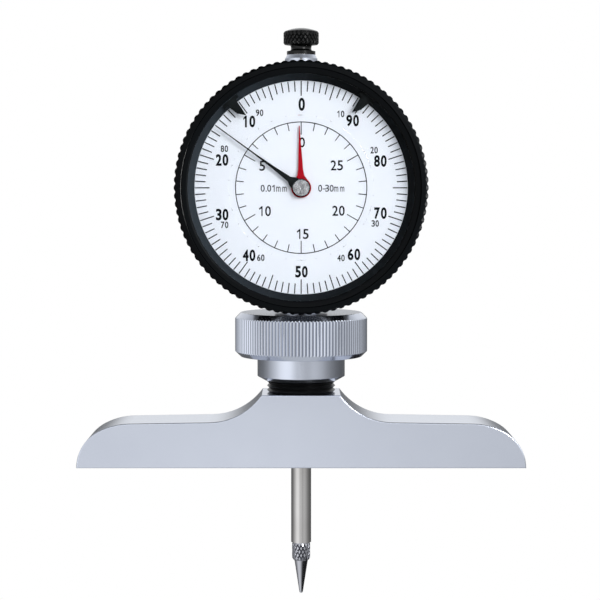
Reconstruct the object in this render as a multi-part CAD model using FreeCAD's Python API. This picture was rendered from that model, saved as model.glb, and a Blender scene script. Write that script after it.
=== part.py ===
import FreeCAD, Part
import math
import os

# Dial depth gauge, in millimetres.
# The origin is the middle of the base's measuring face, on the spindle's axis.
# +Z is up, +X is along the base, and the dial faces -Y.

os.makedirs("parts", exist_ok=True)

# Shared fits
press_ease = 0.01
running_ease = 0.03
loose_ease = 0.1
overrun = 1.0
edge_tolerance = 0.01

# Base: a ground bridge with rounded ends and a hub
base_length = 101.6
base_depth = 15.7
base_flank_height = 10.1
base_flank_slope_deg = 0.9
base_shoulder_radius = 15.5
base_end_radius = 9.4
base_edge_chamfer = 0.15
base_foot_chamfer = 0.15
hub_width = 17.8
hub_height = 16.5
hub_side_radius = 14.8
base_bore_radius = 3.2

# Threaded sleeve: the split collet that grips the stem
thread_radius = 7.8
thread_depth = 0.5
thread_pitch = 1.0
sleeve_spigot_radius = 6.6
sleeve_spigot_length = 9.0
sleeve_thread_length = 12.0
sleeve_cone_height = 3.4
sleeve_cone_top_radius = 5.2
sleeve_slot_width = 1.0
sleeve_slot_count = 4

# Clamp nut
thread_show = 2.75
collar_radius = 10.0
collar_height = 5.5
collar_chamfer = 1.0
collar_foot_radius = 8.2
nut_radius = 15.1
nut_height = 10.05
nut_chamfer = 1.3
nut_lower_chamfer_share = 0.95
nut_groove_count = 120
nut_groove_depth = 0.36
nut_groove_land_share = 0.3
nut_mouth_radius = 4.6

# Head: the round case on its stem
bezel_gap = 0.18
bezel_radius = 28.2
case_radius = 26.9
case_wall = 2.0
case_front_thickness = 1.2
case_edge_chamfer = 0.4
boss_radius = 6.0
boss_gap = 0.6
back_clearance = 0.2
back_cover_thickness = 1.5
cover_screw_radius = 1.0
cover_screw_head_radius = 1.9
cover_screw_head_height = 0.7
cover_screw_length = 5.0
cover_lug_radius = 2.0
cover_lug_length = 9.0
cover_lug_overlap = 0.5
cover_lug_angles_deg = (45.0, 135.0, 225.0, 315.0)
screw_slot_width = 0.4
screw_slot_depth = 0.35
stem_radius = 4.0
stem_end_drop = 2.5
stem_inside_length = 1.4
stem_bore_radius = 2.9
lower_bush_length = 6.0
upper_bush_radius = 3.7
upper_bush_height = 3.15
upper_bush_inside_length = 1.6
upper_bush_slit = 0.6
upper_bush_chamfer_height = 0.85
upper_bush_chamfer_width = 0.45

# Spindle, with its knob and its contact point
spindle_radius = 2.3
travel = 30.3
depth_at_rest = 30.15
contact_length = 11.95
contact_grip_length = 4.1
contact_grip_radius = 2.08
contact_grip_chamfer = 0.25
contact_shoulder_height = 0.55
contact_needle_radius = 1.48
contact_tip_radius = 0.42
contact_stud_radius = 1.1
contact_stud_length = 4.0
knob_stop_gap = 0.1
knob_flange_radius = 3.25
knob_flange_height = 0.77
knob_neck_radius = 2.32
knob_neck_height = 1.46
knob_neck_flare = 0.4
knob_radius = 4.0
knob_grip_height = 2.98
knob_dome_height = 0.78
knob_chamfer = 0.25
knob_stud_radius = 1.2
knob_stud_length = 4.2

# Rack and gear train
rack_pitch = 0.625
rack_pitch_line = 1.5
rack_margin = 1.6
rack_pinion_teeth = 16
wheel_teeth = 100
centre_pinion_teeth = 10
wheel_module = 0.2
counter_pinion_teeth = 20
counter_wheel_teeth = 60
pressure_angle_deg = 20.0
addendum_share = 0.8
dedendum_share = 1.25
tooth_thinning = 0.045
mesh_ease = 0.02
hairspring_side_angle_deg = 45.0
arbor_radius = 0.6
pivot_radius = 0.3
pivot_length = 0.8
centre_arbor_radius = 0.5
tube_wall = 0.45
jewel_radius = 0.9
centre_bush_radius = 2.0
wheel_window_count = 5
wheel_hub_radius = 2.6
wheel_rim = 1.5
wheel_spoke = 1.1

# Depth of each layer between the spindle and the dial, from back to front
hairspring_gap = 0.6
hairspring_width = 0.5
plate_gap = 0.3
front_plate_thickness = 0.8
wheel_gap = 0.55
wheel_thickness = 0.5
counter_wheel_thickness = 0.6
case_wheel_gap = 0.3
dial_ring_gap = 0.3
dial_ring_thickness = 0.5
dial_thickness = 0.4
dial_mark_height = 0.04
counter_pointer_gap = 0.35
pointer_thickness = 0.2
pointer_gap = 0.3
marker_gap = 0.25
marker_thickness = 0.35
crystal_gap = 0.25
crystal_thickness = 1.0
crystal_step_height = 0.5
rear_plate_gap = 0.6
rear_plate_thickness = 1.0

# Plates of the movement: pillars at shares of the room inside the case
pillar_place_shares = ((-0.482, 0.554), (-0.643, -0.369), (0.522, -0.470), (0.811, 0.161))
pillar_radius = 1.5
plate_corner_radius = 2.6
plate_screw_radius = 0.8
plate_screw_head_radius = 1.4
plate_screw_head_height = 0.8
plate_screw_length = 3.2
pillar_stud_length = 1.2

# Guide of the spindle and its springs
guide_pin_drop = 12.0
guide_pin_radius = 0.8
guide_pin_shank_radius = 0.7
guide_pin_shank_depth = 1.4
guide_pin_collar_radius = 1.2
guide_pin_collar_length = 0.85
guide_pin_reach = 6.8
guide_strip_near = 5.9
guide_strip_thickness = 1.0
guide_strip_half_width = 2.2
guide_strip_end = 1.6
guide_slot_ease = 0.06
guide_slot_over_travel = 0.6
guide_screw_radius = 0.35
guide_screw_up_shares = (-0.31, 0.1)
return_spring_offset = 4.6
return_spring_radius = 0.9
return_spring_wire_radius = 0.125
return_spring_turns = 12
spring_post_radius = 0.8
spring_post_rise = 1.5
spring_post_reach = 1.8
hairspring_strip = 0.08
hairspring_pitch = 0.7
hairspring_half_turns = 10
collet_radius = 0.8
hairspring_stud_size = 0.8

# Bezel, dial and crystal
bezel_scallop_count = 96
bezel_scallop_depth = 0.36
bezel_scallop_land_share = 0.24
bezel_edge_chamfer = 0.6
bezel_back_gap = 0.25
bezel_front_rise = 0.75
bezel_line_radius = 26.5
bezel_line_width = 0.12
bezel_line_depth = 0.15
dial_opening_radius = 23.7
dial_rim = 0.9
dial_hole_radius = 1.6
funnel_front_radius = 24.9
groove_radius = 25.3
crystal_radius = 25.7
crystal_lip_radius = 25.15
crystal_lip_height = 0.3
crystal_step_radius = 15.95
spigot_inner_radius = 25.0
spigot_outer_radius = 25.9
spigot_height = 1.8
retaining_wire_radius = 0.2
retaining_ring_gap_width = 2.0

# Dial printing
outer_mark_count = 100
outer_mark_length = 2.3
outer_mark_long_length = 3.25
outer_mark_width = 0.24
outer_mark_edge_radius = 23.65
inner_mark_count = 30
inner_mark_length = 1.75
inner_mark_long_length = 2.8
inner_mark_width = 0.2
inner_circle_radius = 14.6
inner_circle_width = 0.2
long_mark_every = 5

# Pointers and limit markers: widths as (share of the reach, half width as a share of the hub)
long_pointer_reach = 22.9
long_pointer_hub_radius = 2.03
long_pointer_width_shares = ((0.105, 0.56), (0.146, 0.3), (0.336, 0.16), (0.555, 0.081), (1.0, 0.045))
counter_pointer_reach = 13.75
counter_pointer_hub_radius = 2.23
counter_pointer_width_shares = ((0.196, 0.36), (0.291, 0.247), (0.487, 0.188), (0.785, 0.087), (1.0, 0.045))
pointer_cap_radius = 1.86
pointer_cap_height = 0.45
pointer_cap_dimple_radius = 0.4
pointer_cap_dimple_depth = 0.2
marker_tip_radius = 20.1
marker_shoulder_radius = 21.7
marker_foot_inner_radius = 24.2
marker_tip_angle_deg = 0.7
marker_shoulder_angle_deg = 4.4
marker_root_angle_deg = 5.6
marker_foot_angle_deg = 2.0
left_marker_angle_deg = 36.5
right_marker_angle_deg = 33.2


# Heights worked out from the sizes above
nut_foot = hub_height + thread_show
nut_seat = nut_foot + collar_height
nut_top = nut_seat + nut_height
head_height = nut_top + bezel_gap + bezel_radius
case_inner_radius = case_radius - case_wall
stem_bottom = hub_height - stem_end_drop
stem_top = head_height - case_inner_radius + stem_inside_length
boss_bottom = nut_top + boss_gap
case_top = head_height + case_radius
upper_bush_top = case_top + upper_bush_height
upper_bush_bottom = head_height + case_inner_radius - upper_bush_inside_length
spindle_bottom = contact_length - depth_at_rest
spindle_top = upper_bush_top + knob_stop_gap
guide_pin_height = head_height - guide_pin_drop

# Depth of each face in front of the spindle's axis, towards the dial
hairspring_back = -spindle_radius - hairspring_gap
hairspring_front = hairspring_back - hairspring_width
front_plate_back = hairspring_front - plate_gap
front_plate_front = front_plate_back - front_plate_thickness
wheel_back = front_plate_front - wheel_gap
wheel_front = wheel_back - wheel_thickness
counter_wheel_back = wheel_front - wheel_gap
counter_wheel_front = counter_wheel_back - counter_wheel_thickness
case_floor = counter_wheel_front - case_wheel_gap
case_front = case_floor - case_front_thickness
dial_ring_back = case_front - dial_ring_gap
dial_back = dial_ring_back - dial_ring_thickness
dial_front = dial_back - dial_thickness
counter_pointer_back = dial_front - counter_pointer_gap
counter_pointer_front = counter_pointer_back - pointer_thickness
long_pointer_back = counter_pointer_front - pointer_gap
long_pointer_front = long_pointer_back - pointer_thickness
marker_back = long_pointer_front - marker_gap
marker_front = marker_back - marker_thickness
crystal_back = marker_front - crystal_gap
crystal_front = crystal_back - crystal_thickness
bezel_front = crystal_front - bezel_front_rise
bezel_back = case_front - bezel_back_gap
rear_plate_front = spindle_radius + rear_plate_gap
rear_plate_back = rear_plate_front + rear_plate_thickness
case_back = boss_radius + back_clearance
cover_back = case_back + back_cover_thickness

# Places of the gear centres, across and up from the dial's centre
centre_distance = wheel_module * (wheel_teeth + centre_pinion_teeth) / 2 + mesh_ease
counter_module = 2 * (centre_distance - mesh_ease) / (counter_pinion_teeth + counter_wheel_teeth)
rack_module = rack_pitch / math.pi
rack_pinion_pitch_radius = rack_module * rack_pinion_teeth / 2
rack_arbor_across = -(rack_pitch_line + rack_pinion_pitch_radius + mesh_ease)
rack_arbor_up = -math.sqrt(centre_distance**2 - rack_arbor_across**2)
rack_arbor_height = head_height + rack_arbor_up
hairspring_arbor_across = centre_distance * math.cos(math.radians(hairspring_side_angle_deg))
hairspring_arbor_up = centre_distance * math.sin(math.radians(hairspring_side_angle_deg))
hairspring_arbor_height = head_height + hairspring_arbor_up
pillar_places = [
    (case_inner_radius * across, head_height + case_inner_radius * up)
    for across, up in pillar_place_shares
]

X_AXIS = FreeCAD.Vector(1, 0, 0)
Y_AXIS = FreeCAD.Vector(0, 1, 0)
Z_AXIS = FreeCAD.Vector(0, 0, 1)


# Shapes shared by many pieces


def vec(x, y, z):
    """Return a point or a direction."""
    return FreeCAD.Vector(x, y, z)


def rod_x(radius, start, end, y, z):
    """Return a round bar along X."""
    return Part.makeCylinder(radius, end - start, vec(start, y, z), X_AXIS)


def rod_y(radius, start, end, x, z):
    """Return a round bar along Y."""
    return Part.makeCylinder(radius, end - start, vec(x, start, z), Y_AXIS)


def rod_z(radius, start, end, x=0, y=0):
    """Return a round bar along Z."""
    return Part.makeCylinder(radius, end - start, vec(x, y, start), Z_AXIS)


def ring_y(outer, inner, start, end, x, z):
    """Return a ring whose axis is along Y."""
    bar = rod_y(outer, start, end, x, z)
    return bar.cut(rod_y(inner, start - overrun, end + overrun, x, z))


def ring_z(outer, inner, start, end):
    """Return a ring about the spindle's axis."""
    return rod_z(outer, start, end).cut(rod_z(inner, start - overrun, end + overrun))


def box_between(low, high):
    """Return a box from its lowest to its highest corner."""
    size = [high[i] - low[i] for i in range(3)]
    return Part.makeBox(size[0], size[1], size[2], vec(*low))


def prism_y(points, start, end):
    """Return a prism along Y whose outline is given as (across, height) points."""
    corners = [vec(x, start, z) for x, z in points]
    wire = Part.makePolygon(corners + corners[:1])
    return Part.Face(wire).extrude(vec(0, end - start, 0))


def turned_z(profile):
    """Return a solid turned about the spindle's axis from (radius, height) points."""
    corners = [vec(r, 0, z) for r, z in profile]
    wire = Part.makePolygon(corners + corners[:1])
    return Part.Face(wire).revolve(vec(0, 0, 0), Z_AXIS, 360)


def turned_y(profile, x, z):
    """Return a solid turned about a Y axis at x, z from (radius, depth) points."""
    corners = [vec(x + r, y, z) for r, y in profile]
    wire = Part.makePolygon(corners + corners[:1])
    return Part.Face(wire).revolve(vec(x, 0, z), Y_AXIS, 360)


def polar(radius, angle):
    """Return (across, up) of a point at an angle from +X, in radians."""
    return radius * math.cos(angle), radius * math.sin(angle)


def clock(radius, angle_deg):
    """Return (across, up) of a point at an angle in degrees left of the top."""
    angle = math.radians(angle_deg)
    return -radius * math.sin(angle), radius * math.cos(angle)


def slotted_screw_y(radius, head_radius, head_height, length, x, seat, z):
    """Return a slotted screw along Y, its head behind the seat and its shank in front."""
    screw = rod_y(radius, seat - length, seat, x, z)
    screw = screw.fuse(rod_y(head_radius, seat, seat + head_height, x, z))
    slot = box_between(
        (x - head_radius, seat + head_height - screw_slot_depth, z - screw_slot_width / 2),
        (x + head_radius, seat + head_height + overrun, z + screw_slot_width / 2),
    )
    return screw.cut(slot)


# Gear teeth


def involute(angle):
    """Return the involute function of an angle in radians."""
    return math.tan(angle) - angle


def tooth_half_angle(radius, pitch_radius, teeth):
    """Return half of a tooth's angle at a radius, thinned for backlash."""
    pressure = math.radians(pressure_angle_deg)
    base_radius = pitch_radius * math.cos(pressure)
    at_pitch = math.pi / (2 * teeth) - tooth_thinning / (2 * pitch_radius)
    at_radius = math.acos(min(1.0, base_radius / radius)) if radius > base_radius else 0
    return at_pitch + involute(pressure) - involute(at_radius)


def gear_points(teeth, module, tooth_angle, x, z, flank_steps):
    """Return the outline of a gear with one tooth's middle at tooth_angle."""
    pitch_radius = module * teeth / 2
    root = pitch_radius - dedendum_share * module
    tip = pitch_radius + addendum_share * module
    radii = [root + (tip - root) * i / flank_steps for i in range(flank_steps + 1)]
    points = []
    for tooth in range(teeth):
        middle = tooth_angle + 2 * math.pi * tooth / teeth
        rising = [(r, middle - tooth_half_angle(r, pitch_radius, teeth)) for r in radii]
        falling = [(r, middle + tooth_half_angle(r, pitch_radius, teeth)) for r in reversed(radii)]
        for radius, angle in rising + falling:
            across, up = polar(radius, angle)
            points.append((x + across, z + up))
    return points


def meshing_angle(teeth, mate_teeth, mate_angle, towards_mate):
    """Return a tooth angle that puts a space of the gear on each tooth of its mate."""
    mate_line = towards_mate + math.pi
    mate_share = (mate_angle - mate_line) * mate_teeth / (2 * math.pi)
    own_share = 0.5 - mate_share
    return towards_mate + own_share * 2 * math.pi / teeth


def windows(start, end, x, z, pitch_radius):
    """Return the openings between a wheel's spokes, as one cutter."""
    ring = ring_y(pitch_radius - wheel_rim, wheel_hub_radius, start, end, x, z)
    for spoke in range(wheel_window_count):
        angle = 360 * spoke / wheel_window_count
        bar = box_between(
            (x, start - overrun, z - wheel_spoke / 2),
            (x + pitch_radius, end + overrun, z + wheel_spoke / 2),
        )
        ring = ring.cut(bar.rotate(vec(x, 0, z), Y_AXIS, angle))
    return ring


def spoked_wheel(teeth, module, tooth_angle, start, end, x, z, bore):
    """Return a toothed wheel with spokes and a bore."""
    wheel = prism_y(gear_points(teeth, module, tooth_angle, x, z, 3), start, end)
    wheel = wheel.cut(windows(start - overrun, end + overrun, x, z, module * teeth / 2))
    return wheel.cut(rod_y(bore, start - overrun, end + overrun, x, z))


centre_to_rack = math.atan2(rack_arbor_up, rack_arbor_across)
centre_to_hairspring = math.radians(hairspring_side_angle_deg)
rack_wheel_angle = centre_to_rack + math.pi
centre_pinion_angle = meshing_angle(
    centre_pinion_teeth, wheel_teeth, rack_wheel_angle, centre_to_rack
)
hairspring_wheel_angle = meshing_angle(
    wheel_teeth, centre_pinion_teeth, centre_pinion_angle, centre_to_hairspring + math.pi
)
counter_pinion_angle = centre_to_rack + math.pi
counter_wheel_angle = meshing_angle(
    counter_wheel_teeth, counter_pinion_teeth, counter_pinion_angle, centre_to_rack
)


# Base and clamp


def base_outline():
    """Return the base's front outline as a wire, from its own straights and arcs."""
    slope = math.radians(base_flank_slope_deg)
    # The end's arc stands upright on the foot and runs into the shoulder's larger arc
    radius_step = base_shoulder_radius - base_end_radius
    shoulder_up = base_flank_height - base_shoulder_radius
    join_angle = math.asin(-shoulder_up / radius_step)
    end_across = base_length / 2 - base_end_radius
    shoulder_across = end_across - radius_step * math.cos(join_angle)
    join_turn = polar(base_end_radius, join_angle)
    join = (end_across + join_turn[0], join_turn[1])
    flank_outer = (
        shoulder_across + base_shoulder_radius * math.sin(slope),
        shoulder_up + base_shoulder_radius * math.cos(slope),
    )
    # The hub's side arc touches the flank and passes through the hub's corner
    corner = (hub_width / 2, hub_height)
    start_x = flank_outer[0] + hub_side_radius * math.sin(slope) - corner[0]
    start_z = flank_outer[1] + hub_side_radius * math.cos(slope) - corner[1]
    along = math.cos(slope) * start_x - math.sin(slope) * start_z
    apart = start_x**2 + start_z**2 - hub_side_radius**2
    slide = along - math.sqrt(along**2 - apart)
    arc_x = corner[0] + start_x - slide * math.cos(slope)
    arc_z = corner[1] + start_z + slide * math.sin(slope)
    flank_inner = (
        arc_x - hub_side_radius * math.sin(slope),
        arc_z - hub_side_radius * math.cos(slope),
    )
    corner_angle = math.atan2(corner[1] - arc_z, corner[0] - arc_x)
    inner_angle = math.atan2(flank_inner[1] - arc_z, flank_inner[0] - arc_x)
    if corner_angle > 0:
        corner_angle -= 2 * math.pi
    middle = polar(hub_side_radius, (corner_angle + inner_angle) / 2)
    side_middle = (arc_x + middle[0], arc_z + middle[1])
    shoulder_turn = polar(base_shoulder_radius, (join_angle + math.pi / 2 - slope) / 2)
    shoulder_middle = (shoulder_across + shoulder_turn[0], shoulder_up + shoulder_turn[1])
    end_turn = polar(base_end_radius, join_angle / 2)
    end_middle = (end_across + end_turn[0], end_turn[1])
    foot = (base_length / 2, 0)
    half = base_depth / 2

    def place(point, side):
        return vec(side * point[0], -half, point[1])

    edges = []
    for side in (1, -1):
        edges.append(Part.LineSegment(vec(0, -half, hub_height), place(corner, side)))
        edges.append(Part.Arc(place(corner, side), place(side_middle, side), place(flank_inner, side)))
        edges.append(Part.LineSegment(place(flank_inner, side), place(flank_outer, side)))
        edges.append(Part.Arc(place(flank_outer, side), place(shoulder_middle, side), place(join, side)))
        edges.append(Part.Arc(place(join, side), place(end_middle, side), place(foot, side)))
        edges.append(Part.LineSegment(place(foot, side), vec(0, -half, 0)))
    return Part.Wire(Part.__sortEdges__([edge.toShape() for edge in edges]))


def make_base():
    """Return the base, bored for the sleeve's spigot and the spindle."""
    body = Part.Face(base_outline()).extrude(vec(0, base_depth, 0)).removeSplitter()
    half = base_depth / 2
    rims = []
    feet = []
    for edge in body.Edges:
        box = edge.BoundBox
        on_side = box.YLength < edge_tolerance and abs(abs(box.YMin) - half) < edge_tolerance
        if on_side and box.ZMax < edge_tolerance:
            feet.append(edge)
        elif on_side:
            rims.append(edge)
    body = body.makeChamfer(base_edge_chamfer, rims)
    bottoms = [
        edge
        for edge in body.Edges
        if edge.BoundBox.ZMax < edge_tolerance and edge.BoundBox.XLength > base_length / 2
    ]
    body = body.makeChamfer(base_foot_chamfer, bottoms)
    body = body.cut(rod_z(base_bore_radius, -overrun, hub_height + overrun))
    seat = hub_height - sleeve_spigot_length - loose_ease
    return body.cut(rod_z(sleeve_spigot_radius + press_ease, seat, hub_height + overrun))


def make_threaded_sleeve():
    """Return the split sleeve. Closed ridges stand for its thread."""
    shoulder = hub_height
    thread_top = shoulder + sleeve_thread_length
    root = thread_radius - thread_depth
    ridges = int(sleeve_thread_length / thread_pitch)
    profile = [(stem_radius + running_ease, shoulder - sleeve_spigot_length)]
    profile.append((sleeve_spigot_radius, shoulder - sleeve_spigot_length))
    profile.append((sleeve_spigot_radius, shoulder))
    for ridge in range(ridges):
        low = shoulder + ridge * sleeve_thread_length / ridges
        high = shoulder + (ridge + 1) * sleeve_thread_length / ridges
        profile.append((root, low))
        profile.append((thread_radius, (low + high) / 2))
    profile.append((root, thread_top))
    profile.append((sleeve_cone_top_radius, thread_top + sleeve_cone_height))
    profile.append((stem_radius + running_ease, thread_top + sleeve_cone_height))
    sleeve = turned_z(profile)
    for slot in range(sleeve_slot_count):
        cut = box_between(
            (0, -sleeve_slot_width / 2, nut_foot + collar_chamfer),
            (thread_radius + overrun, sleeve_slot_width / 2, thread_top + sleeve_cone_height + overrun),
        )
        turn = 360 * (slot + 0.5) / sleeve_slot_count
        sleeve = sleeve.cut(cut.rotate(vec(0, 0, 0), Z_AXIS, turn))
    return sleeve


def make_clamp_nut():
    """Return the knurled nut with its collar, hollow over the sleeve."""
    thread_top = hub_height + sleeve_thread_length
    cone_top = thread_top + sleeve_cone_height
    bore = thread_radius + loose_ease
    mouth_seat = cone_top + loose_ease
    profile = [
        (bore, nut_foot),
        (collar_foot_radius, nut_foot),
        (collar_radius, nut_foot + collar_chamfer),
        (collar_radius, nut_seat),
        (nut_radius - nut_chamfer, nut_seat),
        (nut_radius, nut_seat + nut_chamfer * nut_lower_chamfer_share),
        (nut_radius, nut_top - nut_chamfer),
        (nut_radius - nut_chamfer, nut_top),
        (nut_mouth_radius, nut_top),
        (nut_mouth_radius, mouth_seat),
        (sleeve_cone_top_radius + loose_ease, mouth_seat),
        (bore, thread_top + loose_ease),
    ]
    nut = turned_z(profile)
    step = 2 * math.pi / nut_groove_count
    land = step * nut_groove_land_share
    rim = []
    for groove in range(nut_groove_count):
        angle = groove * step
        rim.append(polar(nut_radius, angle - land / 2))
        rim.append(polar(nut_radius, angle + land / 2))
        rim.append(polar(nut_radius - nut_groove_depth, angle + step / 2))
    corners = [vec(x, y, nut_foot - overrun) for x, y in rim]
    wire = Part.makePolygon(corners + corners[:1])
    knurl = Part.Face(wire).extrude(vec(0, 0, nut_top - nut_foot + 2 * overrun))
    return nut.common(knurl)


# Head


def lug_places():
    """Return (across, height) of the cover's screw lugs."""
    reach = case_inner_radius - cover_lug_radius + cover_lug_overlap
    places = []
    for angle_deg in cover_lug_angles_deg:
        across, up = polar(reach, math.radians(angle_deg))
        places.append((across, head_height + up))
    return places


def arbor_places():
    """Return (across, height) of the two arbors that stand beside the centre."""
    return [
        (rack_arbor_across, rack_arbor_height),
        (hairspring_arbor_across, hairspring_arbor_height),
    ]


def make_case_body():
    """Return the round case, open at the back, with its boss and front spigot."""
    shell = rod_y(case_radius, case_front, case_back, 0, head_height)
    rims = [edge for edge in shell.Edges if abs(edge.BoundBox.YMax - case_back) < edge_tolerance]
    shell = shell.makeChamfer(case_edge_chamfer, [e for e in rims if e.BoundBox.YLength < edge_tolerance])
    shell = shell.fuse(rod_z(boss_radius, boss_bottom, head_height - case_radius / 2))
    spigot = rod_y(spigot_outer_radius, case_front - spigot_height, case_front, 0, head_height)
    shell = shell.fuse(spigot)
    room = rod_y(case_inner_radius, case_floor, case_back + overrun, 0, head_height)
    shell = shell.cut(room)
    mouth = rod_y(spigot_inner_radius, case_front - spigot_height - overrun, case_front, 0, head_height)
    shell = shell.cut(mouth)
    lug_front = case_back - cover_lug_length
    lug_bounds = rod_y(case_radius - case_wall / 2, lug_front, case_back, 0, head_height)
    lug_bore = cover_screw_radius + running_ease
    lug_bore_front = case_back - cover_screw_length
    for x, z in lug_places():
        lug = rod_y(cover_lug_radius, lug_front, case_back, x, z)
        shell = shell.fuse(lug.common(lug_bounds))
        shell = shell.cut(rod_y(lug_bore, lug_bore_front, case_back + overrun, x, z))
    shell = shell.cut(rod_z(stem_radius + press_ease, boss_bottom - overrun, stem_top + overrun))
    shell = shell.cut(rod_z(upper_bush_radius + press_ease, upper_bush_bottom, case_top + overrun))
    inside = case_floor + overrun
    bush_hole = centre_bush_radius + press_ease
    shell = shell.cut(rod_y(bush_hole, case_front - overrun, inside, 0, head_height))
    for x, z in arbor_places():
        shell = shell.cut(rod_y(jewel_radius + press_ease, case_floor - jewel_length(), inside, x, z))
    return shell.cut(retaining_torus(retaining_wire_radius + running_ease))


def jewel_length():
    """Return how deep a jewel sits in its plate."""
    return front_plate_thickness + running_ease


def retaining_torus(wire_radius):
    """Return a full ring of round wire where the bezel is held on the spigot."""
    depth = case_front - spigot_height / 2
    return Part.makeTorus(spigot_outer_radius, wire_radius, vec(0, depth, head_height), Y_AXIS)


def make_stem():
    """Return the stem, bored for the spindle and its lower bush."""
    return ring_z(stem_radius, stem_bore_radius, stem_bottom, stem_top)


def make_lower_bush():
    """Return the bush at the bottom of the stem."""
    outer = stem_bore_radius - press_ease
    inner = spindle_radius + running_ease
    return ring_z(outer, inner, stem_bottom, stem_bottom + lower_bush_length)


def make_upper_bush():
    """Return the bush on top of the case, chamfered above and slotted in front."""
    chamfer_foot = upper_bush_top - upper_bush_chamfer_height
    profile = [
        (spindle_radius + running_ease, upper_bush_bottom),
        (upper_bush_radius, upper_bush_bottom),
        (upper_bush_radius, chamfer_foot),
        (upper_bush_radius - upper_bush_chamfer_width, upper_bush_top),
        (spindle_radius + running_ease, upper_bush_top),
    ]
    slit = box_between(
        (-upper_bush_slit / 2, -upper_bush_radius - overrun, case_top),
        (upper_bush_slit / 2, 0, chamfer_foot),
    )
    return turned_z(profile).cut(slit)


def make_back_cover():
    """Return the flat cover on the back of the case."""
    cover = rod_y(case_radius, case_back, cover_back, 0, head_height)
    rims = [
        edge
        for edge in cover.Edges
        if edge.BoundBox.YMin > cover_back - edge_tolerance
    ]
    cover = cover.makeChamfer(case_edge_chamfer, rims)
    seat = cover_back - cover_screw_head_height
    outside = cover_back + overrun
    for x, z in lug_places():
        cover = cover.cut(rod_y(cover_screw_radius + loose_ease, case_back - overrun, outside, x, z))
        cover = cover.cut(rod_y(cover_screw_head_radius + loose_ease, seat, outside, x, z))
    return cover


def make_back_cover_screws():
    """Return the four screws of the back cover."""
    seat = cover_back - cover_screw_head_height
    reach = cover_screw_length - loose_ease + seat - case_back
    return Part.makeCompound(
        [
            slotted_screw_y(
                cover_screw_radius, cover_screw_head_radius, cover_screw_head_height, reach, x, seat, z
            )
            for x, z in lug_places()
        ]
    )


def plate_blank(start, end):
    """Return a plate that reaches round all four pillars."""
    corners = [vec(x, start, z) for x, z in pillar_places]
    wire = Part.makePolygon(corners + corners[:1])
    core = Part.Face(wire).extrude(vec(0, end - start, 0))
    plate = core
    for i, (x, z) in enumerate(pillar_places):
        next_x, next_z = pillar_places[(i + 1) % len(pillar_places)]
        run = math.hypot(next_x - x, next_z - z)
        turn = math.degrees(math.atan2(next_z - z, next_x - x))
        band = box_between((x, start, z - plate_corner_radius), (x + run, end, z + plate_corner_radius))
        plate = plate.fuse(band.rotate(vec(x, 0, z), Y_AXIS, -turn))
        plate = plate.fuse(rod_y(plate_corner_radius, start, end, x, z))
    return plate.removeSplitter()


def make_front_plate():
    """Return the plate between the wheels and the spindle."""
    plate = plate_blank(front_plate_front, front_plate_back)
    low = front_plate_front - overrun
    high = front_plate_back + overrun
    for x, z in pillar_places:
        plate = plate.cut(rod_y(plate_screw_radius + running_ease, low, high, x, z))
    for x, z in arbor_places():
        plate = plate.cut(rod_y(arbor_radius + 2 * loose_ease, low, high, x, z))
    return plate.cut(rod_y(jewel_radius + press_ease, low, high, 0, head_height))


def make_rear_plate():
    """Return the plate behind the spindle."""
    plate = plate_blank(rear_plate_front, rear_plate_back)
    low = rear_plate_front - overrun
    high = rear_plate_back + overrun
    for x, z in pillar_places:
        plate = plate.cut(rod_y(plate_screw_radius + running_ease, low, high, x, z))
    for x, z in arbor_places():
        plate = plate.cut(rod_y(jewel_radius + press_ease, low, high, x, z))
    for x, z in guide_screw_places():
        plate = plate.cut(rod_y(guide_screw_radius + running_ease, low, high, x, z))
    return plate


def make_front_pillars():
    """Return the four pillars between the case and the front plate."""
    pillars = []
    for x, z in pillar_places:
        pillar = rod_y(pillar_radius, case_floor, front_plate_front, x, z)
        hole = rod_y(
            plate_screw_radius + running_ease,
            front_plate_front - pillar_stud_length - loose_ease,
            front_plate_front + overrun,
            x,
            z,
        )
        pillars.append(pillar.cut(hole))
    return Part.makeCompound(pillars)


def make_rear_pillars():
    """Return the four studded pillars between the two plates."""
    pillars = []
    for x, z in pillar_places:
        pillar = rod_y(pillar_radius, front_plate_back, rear_plate_front, x, z)
        stud = rod_y(plate_screw_radius, front_plate_front - pillar_stud_length, front_plate_back, x, z)
        hole = rod_y(
            plate_screw_radius + running_ease,
            rear_plate_front - plate_screw_length,
            rear_plate_front + overrun,
            x,
            z,
        )
        pillars.append(pillar.fuse(stud).cut(hole))
    return Part.makeCompound(pillars)


def make_plate_screws():
    """Return the four screws that hold the rear plate on its pillars."""
    reach = plate_screw_length + rear_plate_thickness - loose_ease
    return Part.makeCompound(
        [
            slotted_screw_y(
                plate_screw_radius,
                plate_screw_head_radius,
                plate_screw_head_height,
                reach,
                x,
                rear_plate_back,
                z,
            )
            for x, z in pillar_places
        ]
    )


def make_centre_bush():
    """Return the bush that carries the counter's tube in the case's front wall."""
    return ring_y(centre_bush_radius, tube_radius() + running_ease, case_front, case_floor, 0, head_height)


def tube_radius():
    """Return the outer radius of the counter's tube."""
    return centre_arbor_radius + running_ease + tube_wall


def make_bearing_jewels():
    """Return the jewels that the arbors' pivots turn in."""
    bore = pivot_radius + running_ease
    jewels = [ring_y(jewel_radius, bore, front_plate_front, front_plate_back, 0, head_height)]
    for x, z in arbor_places():
        jewels.append(ring_y(jewel_radius, bore, case_floor - jewel_length(), case_floor, x, z))
        jewels.append(ring_y(jewel_radius, bore, rear_plate_front, rear_plate_back, x, z))
    return Part.makeCompound(jewels)


# Spindle


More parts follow.
